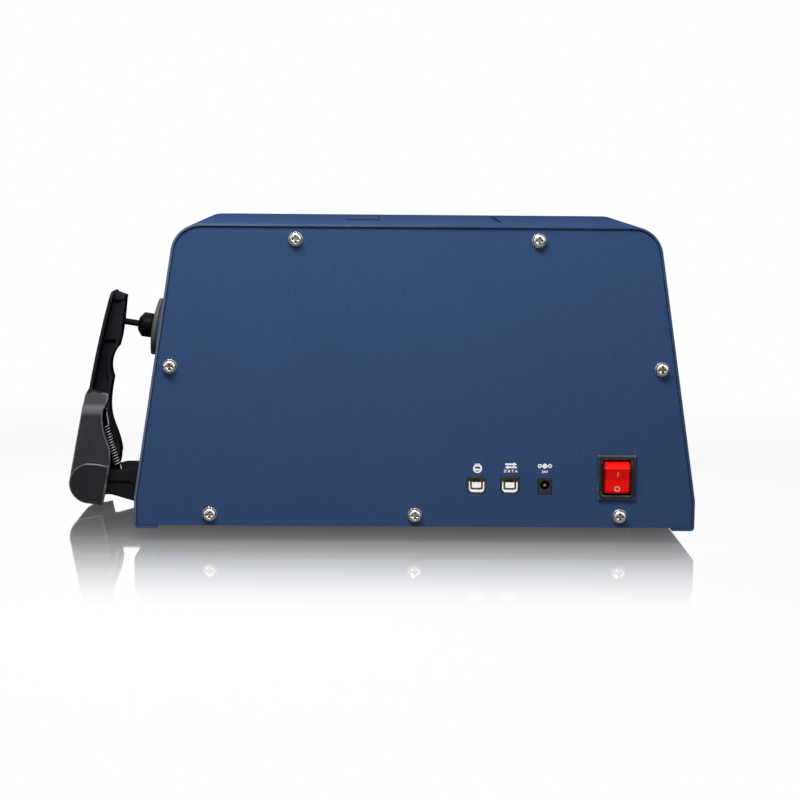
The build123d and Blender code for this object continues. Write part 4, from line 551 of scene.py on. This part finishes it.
# Finishes of single nodes, where one differs from the rest of its slot.
own_finishes = {
    # The cover's coat takes a painted highlight along its rear edge.
    "wrap_cover": powder_coat("powder_coat_blue_edge_highlight", edge=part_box("wrap_cover")[0].y / MM),
    # The arm's outer faces are eroded and scatter light. A painted highlight pales its edges and a band 72.5
    # mm up, below its shoulder.
    "clamp_arm": moulded("moulded_abs_arm", "#36373A", "#3F4043", (0.35, 0.5), 0.7, highlight_tone="#A0A2A6",
                         highlight_height=72.5),
    # A hard collar, nearly black.
    "press_collar": moulded("moulded_acetal_black", "#060607", "#0B0C0D", (0.35, 0.5), 0.6, shine=0.06),
    # The bracket is of a dull black nylon, with no sheen under the skirt.
    "clamp_bracket": moulded("moulded_nylon_black", "#232425", "#2B2B2C", (0.5, 0.7), 0.8, shine=0.0),
    # The port's ring has the grey of the disc that closes on it.
    "port_ring": moulded("moulded_nylon_grey", "#45474A", "#505255", (0.5, 0.65), 0.8),
    # The switch's bezel is glossier than the rest, so its edges catch the light, and a painted highlight
    # pales them more.
    "power_switch_housing": moulded("polished_nylon_black", "#131111", "#1B1818", (0.22, 0.34), 0.6,
                                    shine=0.4, highlight_tone="#7E8696"),
    # The jack's body is a warmer black than the panel's other fittings.
    "dc_jack_body": moulded("moulded_pbt_black", "#23221F", "#2C2B27", (0.45, 0.6), 0.6, shine=0.3),
    # Tinned steel of the sockets' shells: dull, with painted shade darkening the mouths.
    "usb_socket_shells": plated("dull_tinned_steel", "#55534A", "#6A675C", (0.4, 0.55), 0.4, 1.2),
}


def finish_of(node):
    """A node's own finish, or its slot's."""
    return own_finishes.get(node, finishes[slot_of[node]])


# ---- Making pieces ----

SHARP = math.radians(28)        # a sharper edge than this is rolled over
FLAT = math.radians(0.6)        # faces that meet at less lie in one plane
JOIN = 0.002 * MM               # points nearer than this are one
ROLL_STEPS = 2                  # segments of a rolled edge
KEPT_FACES = 0.25               # share of a moulded form's faces that stay
WIRE_END = 0.02                 # of a wire's radius, at its pointed ends
CAP_POINTS = 10                 # of a capsule's half circle


def shade_smooth(mesh):
    """Every face of a mesh shaded smooth."""
    mesh.polygons.foreach_set("use_smooth", np.ones(len(mesh.polygons), bool))


def face_vectors(mesh, field):
    """One vector of each face, its center or its normal, as an array."""
    values = np.empty(len(mesh.polygons) * 3)
    mesh.polygons.foreach_get(field, values)
    return values.reshape(-1, 3)


def place_piece(name, mesh, body, slot, *materials):
    """A finished mesh as a piece that rides on a body and takes the finishes given. slot is not used."""
    piece = bpy.data.objects.new(name, mesh)
    bpy.context.scene.collection.objects.link(piece)
    mesh.materials.clear()
    for material in materials:
        mesh.materials.append(material)
    if body:
        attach(piece, body)
    return piece


def merged_copy(node):
    """A node's triangles as one joined mesh, with its flat areas cleared of inner edges."""
    form = bmesh.new()
    form.from_mesh(nodes[node].data)
    bmesh.ops.remove_doubles(form, verts=form.verts, dist=JOIN)
    bmesh.ops.dissolve_limit(form, angle_limit=FLAT, verts=form.verts, edges=form.edges)
    mesh = bpy.data.meshes.new(node + "_finished")
    form.to_mesh(mesh)
    form.free()
    return mesh


def soften(node, width, held=False):
    """A node's own form with rounded edges: every sharp edge is rolled over to width in mm.

    held keeps the roll from running past the short edges of a thin form."""
    mesh = merged_copy(node)
    shade_smooth(mesh)
    mesh.set_sharp_from_angle(angle=SHARP)
    piece = place_piece(node + "_finished", mesh, body_of[node], slot_of[node], finish_of(node))
    roll = piece.modifiers.new("rolled_edges", "BEVEL")
    roll.width = width * MM
    roll.segments = ROLL_STEPS
    roll.limit_method = "ANGLE"
    roll.angle_limit = SHARP
    roll.use_clamp_overlap = held
    roll.harden_normals = True
    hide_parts(node)


def mould(node, grain, passes):
    """A moulded part, whose edges and inner corners are all rounded as the melt leaves them.

    The form is rebuilt from cubes of grain mm. Each point then moves half way to the middle of its
    neighbours, passes times over, and the flat areas are thinned."""
    rough = bpy.data.objects.new(node, merged_copy(node))
    bpy.context.scene.collection.objects.link(rough)
    cubes = rough.modifiers.new("cubes", "REMESH")
    cubes.mode = "VOXEL"
    cubes.voxel_size = grain * MM
    relax = rough.modifiers.new("relax", "SMOOTH")
    relax.factor = 0.5
    relax.iterations = passes
    thin = rough.modifiers.new("thin", "DECIMATE")
    thin.ratio = KEPT_FACES
    shaped = rough.evaluated_get(bpy.context.evaluated_depsgraph_get())
    mesh = bpy.data.meshes.new_from_object(shaped)
    bpy.data.objects.remove(rough)
    shade_smooth(mesh)
    piece = place_piece(node + "_finished", mesh, body_of[node], slot_of[node], finish_of(node))
    even = piece.modifiers.new("even_shading", "WEIGHTED_NORMAL")
    even.mode = "FACE_AREA"
    even.keep_sharp = False
    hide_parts(node)


def grid_mesh(name, points):
    """A surface through a grid of points: rows along it, and columns round it, joined end to end."""
    rows, columns, _ = points.shape
    index = np.arange(rows * columns).reshape(rows, columns)
    index = np.hstack([index, index[:, :1]])
    quads = np.stack([index[:-1, :-1], index[:-1, 1:], index[1:, 1:], index[1:, :-1]], -1).reshape(-1, 4)
    mesh = bpy.data.meshes.new(name)
    mesh.from_pydata(points.reshape(-1, 3).tolist(), [], quads.tolist())
    shade_smooth(mesh)
    return mesh


def tube_along(name, path, radius, sides):
    """A round wire: at each point of the path, a circle of the radius square to the path's direction.

    The circle's first axis is square to the path and to Y, or to Z where the path runs along Y. The
    ends run in to a point."""
    along = np.gradient(path, axis=0)
    along /= np.linalg.norm(along, axis=1, keepdims=True)
    first = np.cross(along, [0.0, 1.0, 0.0])
    weak = np.linalg.norm(first, axis=1) < 0.05
    first[weak] = np.cross(along[weak], [0.0, 0.0, 1.0])
    first /= np.linalg.norm(first, axis=1, keepdims=True)
    second = np.cross(along, first)
    turn = np.linspace(0, 2 * np.pi, sides, endpoint=False)
    circle = np.cos(turn)[None, :, None] * first[:, None] + np.sin(turn)[None, :, None] * second[:, None]
    girth = np.full(len(path), radius)
    girth[0] = girth[-1] = radius * WIRE_END
    return grid_mesh(name, path[:, None] + circle * girth[:, None, None])


def flat_shape(name, loops, at, height):
    """A flat form that faces the rear: closed loops of X and Z round a place, filled, and height thick.

    The first loop is the outline and any loop inside it is a hole."""
    curve = bpy.data.curves.new(name, "CURVE")
    curve.dimensions = "2D"
    curve.fill_mode = "BOTH"
    curve.extrude = height / 2
    for loop in loops:
        spline = curve.splines.new("POLY")
        spline.points.add(len(loop) - 1)
        flat = np.zeros((len(loop), 4))
        flat[:, :2] = np.asarray(loop)
        flat[:, 3] = 1
        spline.points.foreach_set("co", flat.ravel())
        spline.use_cyclic_u = True
    shape = bpy.data.objects.new(name, curve)
    mesh = bpy.data.meshes.new_from_object(shape)
    bpy.data.objects.remove(shape)
    mesh.transform(Matrix.Translation(Vector(at)) @ Matrix.Rotation(math.pi / 2, 4, "X"))
    return mesh


def ring(x, z, radius, count=40):
    """A circle as points: cosine and sine of equal steps, about a centre."""
    turn = np.linspace(0, 2 * np.pi, count, endpoint=False)
    return np.stack([x + radius * np.cos(turn), z + radius * np.sin(turn)], 1)


def capsule(x0, z0, x1, z1, radius):
    """A rounded bar from one point to another: half a circle about each end."""
    start, end = np.array([x0, z0]), np.array([x1, z1])
    lead = math.atan2(z1 - z0, x1 - x0)
    sweep = np.linspace(-np.pi / 2, np.pi / 2, CAP_POINTS)
    near = np.stack([np.cos(lead + np.pi + sweep), np.sin(lead + np.pi + sweep)], 1) * radius + start
    far = np.stack([np.cos(lead + sweep), np.sin(lead + sweep)], 1) * radius + end
    return np.concatenate([far, near])


def joined(name, meshes):
    """Several meshes as one."""
    join = bmesh.new()
    for mesh in meshes:
        join.from_mesh(mesh)
        bpy.data.meshes.remove(mesh)
    mesh = bpy.data.meshes.new(name)
    join.to_mesh(mesh)
    join.free()
    return mesh


# ---- Second finishes on part of a node ----

ARM_SHADE_REACH = 12         # mm to either side of the arm's middle plane
ARM_SHADE_SHOULDER = 84      # mm up, from where the whole head takes the painted shade
ARM_SHADE_SIGHT = 40         # mm, faces of the arm that look at each other are nearer than this
ARM_SHADE_CLEAR = 0.1        # mm off a face, where its normal starts
LIP_ROOM = (1, 1, 2)    # mm round the finger cup


def shade_arm_inside():
    """The arm's ribbed inside takes a painted shade.

    It goes on the faces near the arm's middle plane and on all above the shoulder, but not on those that
    look out (-X). It goes on every face whose normal meets another face of the arm, too."""
    mesh = bpy.data.objects["clamp_arm_finished"].data
    mesh.materials.append(arm_inside_shade)
    centres, outward = face_vectors(mesh, "center"), face_vectors(mesh, "normal")
    shaded_faces = np.abs(centres[:, Y] - middle("clamp_arm")[Y]) < ARM_SHADE_REACH * MM
    shaded_faces |= centres[:, Z] > ARM_SHADE_SHOULDER * MM
    shaded_faces &= outward[:, X] > -0.5
    surface = BVHTree.FromPolygons([v.co for v in mesh.vertices], [f.vertices[:] for f in mesh.polygons])
    met = [surface.ray_cast(f.center + f.normal * ARM_SHADE_CLEAR * MM, f.normal, ARM_SHADE_SIGHT * MM)[0]
           for f in mesh.polygons]
    shaded_faces |= np.array([point is not None for point in met])
    mesh.polygons.foreach_set("material_index", shaded_faces.astype(np.int32))


def blacken_cup_edges():
    """Black on the cover's upright faces beside the finger cup."""
    mesh = bpy.data.objects["wrap_cover_finished"].data
    mesh.materials.append(finishes["black_plastic"])
    centres, outward = face_vectors(mesh, "center"), face_vectors(mesh, "normal")
    low, high = (np.array(corner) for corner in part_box("finger_cup"))
    room = np.array(LIP_ROOM) * MM
    beside = np.all((centres > low - room) & (centres < high + room), axis=1)
    beside &= np.abs(outward[:, Z]) < 0.5
    mesh.polygons.foreach_set("material_index", beside.astype(np.int32))


# ---- The clamp's spring ----

SPRING_WIRE = 0.42 * MM         # radius
SPRING_SIDES = 10               # of the wire
SPRING_COIL = 1.95 * MM         # mean radius
SPRING_TURNS = 15
SPRING_STEPS = 24               # points in a turn
SPRING_LEAD = 5.0 * MM          # anchor pin to the first turn
SPRING_LENGTH = 29.9 * MM       # of the coil
SPRING_BOW = -1.05 * MM         # the coil's upper end hangs this far out of the line of its pins
HOOK_ROOM = 0.05 * MM           # hook to its pin
HOOK_POINTS = 22
LEG_POINTS = 12
ANCHOR_RADIUS = 1.2 * MM
PEG_RADIUS = 1.5 * MM
REARWARD = np.array([0.0, -1.0, 0.0])


def spring_line():
    """The spring's ends, on its two pins, and the direction from the lower to the upper."""
    y = middle("clamp_spring")[Y]
    start, end = (np.array([middle(pin)[X], y, middle(pin)[Z]])
                  for pin in ("spring_anchor_pin", "spring_peg"))
    return start, end, (end - start) / np.linalg.norm(end - start)


def spring_path():
    """The spring's wire: a hook round the anchor pin, a leg, a close coil, a long leg and a hook on the peg.

    The coil is a circle of the mean radius that turns while it moves along the spring's line. Each hook is
    most of a circle round its pin, and each leg runs straight while it eases from the coil's side to the
    hook's."""
    start, end, axis = spring_line()
    across = np.cross(axis, REARWARD)
    turn = np.linspace(np.pi / 2, np.pi / 2 + SPRING_TURNS * 2 * np.pi, SPRING_TURNS * SPRING_STEPS + 1)
    share = (turn - turn[0]) / (turn[-1] - turn[0])
    coil = (start + axis * (SPRING_LEAD + SPRING_LENGTH * share)[:, None]
            + REARWARD * (SPRING_COIL * np.cos(turn))[:, None]
            + across * (SPRING_COIL * np.sin(turn) + SPRING_BOW * share)[:, None])

    def hook(pin, radius, way):
        """Five eighths of a circle round a pin, its open side toward the coil."""
        bend = np.linspace(-0.25 * np.pi, np.pi, HOOK_POINTS)
        reach = radius + SPRING_WIRE + HOOK_ROOM
        return pin - reach * (way * axis * np.sin(bend)[:, None] + across * np.cos(bend)[:, None])

    def leg(first, last):
        """A straight run, whose place toward the side eases from one end's to the other's."""
        share = np.linspace(0, 1, LEG_POINTS)[1:-1, None]
        eased = share * share * (3 - 2 * share)
        run = first + (last - first) * share
        run[:, Y] = (first + (last - first) * eased)[:, Y]
        return run

    lower = hook(start, ANCHOR_RADIUS, 1)
    upper = hook(end, PEG_RADIUS, -1)[::-1]
    return np.concatenate([lower, leg(lower[-1], coil[0]), coil, leg(coil[-1], upper[0]), upper])


def add_spring():
    """The spring, with painted shade on its coil's inner side and painted highlight on its ends.

    The shaded faces are nearer the coil's line than the wire's middle, and the ends are beyond the coil."""
    mesh = tube_along("extension_spring", spring_path(), SPRING_WIRE, SPRING_SIDES)
    spring = place_piece("extension_spring", mesh, None, "spring_steel",
                         finishes["spring_steel"], spring_coil_shade, spring_ends_lit)
    start, end, axis = spring_line()
    centres = face_vectors(mesh, "center")
    along = (centres - start) @ axis
    share = np.clip((along - SPRING_LEAD) / SPRING_LENGTH, 0, 1)
    line = start + axis * along[:, None] + np.cross(axis, REARWARD) * SPRING_BOW * share[:, None]
    beyond = np.maximum(SPRING_LEAD - along, along - SPRING_LEAD - SPRING_LENGTH)
    # Painted shade on the coil's inner faces, painted highlight on the ends beyond it.
    coil_inside_shaded = (np.linalg.norm(centres - line, axis=1) < SPRING_COIL) & (beyond < SPRING_WIRE)
    finish_index = np.where(beyond > 2 * SPRING_WIRE, 2, coil_inside_shaded)
    mesh.polygons.foreach_set("material_index", finish_index.astype(np.int32))
    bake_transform(spring)
    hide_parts("clamp_spring")


# ---- Marks ----

MARK_HEIGHT = 0.08 * MM
MARK_PROUD = 0.03 * MM          # of the mark's middle over the surface
RAY_START = 50 * MM             # outside the surface that a mark is laid on
SOCKET_HALF = 6                 # mm, half a data socket's width
TYPE_SIZE = 1.43                # of a capital's height
TYPE_WEIGHT = 0.08 * MM         # by which the strokes are thickened

# Heights over the bench of the marks' middles, in mm.
MARK_LEVEL = 51.9
PRINTER_LEVEL = 50.3
DATA_LEVEL = 48.3
VOLTAGE_LEVEL = 48.0
# How far they stand to the right of their fittings, in mm.
SOCKET_SHIFT = 0.45
DATA_SHIFT = -0.15      # of the word under its arrows
JACK_SHIFT = -0.2
# The rocker's marks, in mm of X and Z from its middle.
ON_PLACE = (0.4, 3.0)
OFF_PLACE = (0.2, -6.9)


def lay_on(mesh, carrier):
    """Set a mark on a surface: each point moves along Y to where its ray meets the surface."""
    form = bmesh.new()
    form.from_mesh(carrier.data)
    surface = BVHTree.FromBMesh(form)
    form.free()
    points = np.empty(len(mesh.vertices) * 3)
    mesh.vertices.foreach_get("co", points)
    points = points.reshape(-1, 3)
    level = (points[:, Y].min() + points[:, Y].max()) / 2
    for point in points:
        found = surface.ray_cast(Vector((point[X], level - RAY_START, point[Z])), Vector((0, 1, 0)))[0]
        point[Y] += found.y - MARK_PROUD - level
    mesh.vertices.foreach_set("co", points.ravel())


def add_mark(name, groups, x, z, carrier="rear_panel", ink=white_print):
    """A mark printed on a node's rearward face: groups of loops in mm, about X and Z in mm."""
    place = (x * MM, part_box(carrier)[0].y, z * MM)
    mesh = joined(name, [flat_shape(name, [np.asarray(loop) * MM for loop in group], place, MARK_HEIGHT)
                         for group in groups])
    lay_on(mesh, nodes[carrier])
    place_piece(name, mesh, body_of[carrier], "white_plastic", ink)


def add_text_mark(name, words, x, z, height, spacing):
    """Plain printed characters centred on X and Z, with height as the height of a capital, all in mm."""
    text = bpy.data.curves.new(name, "FONT")
    text.body = words
    text.size = height * MM * TYPE_SIZE
    text.space_character = spacing
    text.align_x = "CENTER"
    text.align_y = "CENTER"
    text.extrude = MARK_HEIGHT / 2
    text.offset = TYPE_WEIGHT
    shape = bpy.data.objects.new(name, text)
    mesh = bpy.data.meshes.new_from_object(shape)
    bpy.data.objects.remove(shape)
    turn = Matrix.Rotation(math.pi / 2, 4, "X")
    mesh.transform(Matrix.Translation((x * MM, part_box("rear_panel")[0].y - MARK_PROUD, z * MM)) @ turn)
    place_piece(name, mesh, "housing", "white_plastic", white_print)


def socket_middles():
    """X of the two data sockets, in mm: half a socket in from either end of their shells."""
    low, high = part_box("usb_socket_shells")
    return low.x / MM + SOCKET_HALF, high.x / MM - SOCKET_HALF


def add_marks():
    """The rear panel's marks, and those on the rocker. Each mark's loops are in mm about its own middle."""
    printer_x, data_x = (x + SOCKET_SHIFT for x in socket_middles())
    jack_x = middle("dc_jack_body")[X] / MM + JACK_SHIFT
    # A printer: a round body with a sheet above and a tray slot below.
    add_mark("printer_mark", [
        [ring(0, -0.3, 3.0, 28), capsule(-1.1, 0.3, 1.1, 0.3, 0.7), capsule(-0.7, -1.9, 0.7, -1.9, 0.4)],
        [capsule(-1.2, 2.4, 1.2, 2.4, 0.55)],
    ], printer_x, PRINTER_LEVEL)
    # Data: an arrow each way.
    up = [(-3.8, 0.45), (1.7, 0.45), (1.7, -0.35), (4.0, 1.05), (1.7, 2.45), (1.7, 1.65), (-3.8, 1.65)]
    down = [(-x, -z + 0.1) for x, z in up]
    add_mark("data_mark", [[up], [down]], data_x, MARK_LEVEL)
    add_text_mark("data_text", "DATA", data_x + DATA_SHIFT, DATA_LEVEL, 1.75, 1.6)
    # Polarity: minus and plus rings joined to a centre disc.
    add_mark("polarity_mark", [
        [ring(-3.4, 0, 1.35), ring(-3.4, 0, 0.6)],
        [ring(3.4, 0, 1.35), ring(3.4, 0, 0.6)],
        [ring(0, 0, 1.65)],
        [capsule(-2.2, 0, -1.4, 0, 0.4)],
        [capsule(1.4, 0, 2.2, 0, 0.4)],
    ], jack_x, MARK_LEVEL)
    add_text_mark("voltage_text", "24V", jack_x, VOLTAGE_LEVEL, 1.6, 1.15)
    # On and off, on the rocker's hollow face.
    rocker = middle("power_switch_rocker")
    x, z = rocker[X] / MM, rocker[Z] / MM
    add_mark("on_mark", [[capsule(-0.1, -1.35, 0.1, 1.35, 0.4)]],
             x + ON_PLACE[0], z + ON_PLACE[1], "power_switch_rocker", rocker_print)
    add_mark("off_mark", [[ring(0, 0, 2.0), ring(0, 0, 1.15)]],
             x + OFF_PLACE[0], z + OFF_PLACE[1], "power_switch_rocker", rocker_print)


# ---- The data sockets' insulators ----

# Right halves of the pieces inside a socket, in mm from its middle, from the top down to the middle line.
CHANNEL_OUTSIDE = [(5.05, 2.2), (5.05, -2.7), (3.9, -4.5)]
CHANNEL_INSIDE = [(4.3, 2.2), (4.3, -2.3), (3.5, -3.1)]
TONGUE = [(2.95, 1.8), (2.95, -1.65)]
SHIELD = [(5.4, 4.85), (5.4, -2.7), (3.3, -4.8)]
CONTACT = [(0.55, 3.3), (0.55, 2.05)]
CONTACT_SIDE = 1.27     # mm from the socket's middle to a contact's


def whole(half):
    """A right half with its mirror image: one closed loop."""
    return half + [(-x, z) for x, z in reversed(half)]


def socket_slab(x, loop, front, depth):
    """A flat piece of a socket at X: a closed loop, from front to front + depth behind the mouth, in mm."""
    mouth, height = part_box("usb_socket_shells")[0].y, middle("usb_socket_shells")[Z]
    place = (x * MM, mouth + (front + depth / 2) * MM, height)
    return flat_shape("slab", [np.asarray(loop) * MM], place, depth * MM)


def add_sockets():
    """A white channel round each socket's mouth, its tongue, the dark shield behind it and two contacts."""
    rim = whole(CHANNEL_OUTSIDE) + whole(CHANNEL_INSIDE)[::-1]
    white, dark, black = [], [], []
    for x in socket_middles():
        white += [socket_slab(x, rim, 0.4, 1.6), socket_slab(x, whole(TONGUE), 0.9, 11.0)]
        dark.append(socket_slab(x, whole(SHIELD), 3.6, 12.0))
        black += [socket_slab(x + side, whole(CONTACT), 1.6, 1.6) for side in (-CONTACT_SIDE, CONTACT_SIDE)]
    insulators = place_piece("socket_insulators", joined("socket_insulators", white), "housing",
                             "white_plastic", finishes["white_plastic"])
    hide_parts("usb_socket_cores")
    place_piece("socket_shields", joined("socket_shields", dark), "housing", "black_plastic", socket_dark)
    place_piece("socket_contacts", joined("socket_contacts", black), "housing", "brass", contact_black)


# ---- Finished nodes ----

# Folded sheet and turned or pressed pieces: the width of their rolled edges, in mm.
ROLLED = {
    "wrap_cover": 0.25, "front_panel": 0.3, "base_plate": 0.4, "display_bezel": 0.9, "rubber_feet": 0.9,
    "rear_panel_washers": 0.2, "rear_panel_screws": 0.18, "dc_jack_body": 0.25, "usb_socket_shells": 0.12,
    "press_disc": 0.5, "port_ring": 0.5, "aperture_mask": 0.3, "finger_cup": 0.4,
}
# The same for the thin ones, whose roll is held.
ROLLED_THIN = {"rear_panel": 0.2, "chamber_lid": 0.5, "chamber_liner": 0.5}
# Moulded pieces: the size of the cubes in mm, and how often they relax, give the radius of their edges.
MOULDED = {
    "clamp_arm": (0.5, 4), "clamp_bracket": (0.5, 4), "pivot_caps": (0.4, 5), "press_collar": (0.4, 4),
    "power_switch_housing": (0.4, 10), "power_switch_rocker": (0.3, 4),
}

for node, width in ROLLED.items():
    soften(node, width)
for node, width in ROLLED_THIN.items():
    soften(node, width, held=True)
for node, (grain, passes) in MOULDED.items():
    mould(node, grain, passes)

shade_arm_inside()
blacken_cup_edges()
add_spring()
add_sockets()
add_marks()

# The nodes that no finished piece replaces show their own form.
for node, thing in nodes.items():
    if not thing.hide_render:
        thing.data.materials.clear()
        thing.data.materials.append(finish_of(node))

bpy.context.scene.view_settings.view_transform = "Standard"
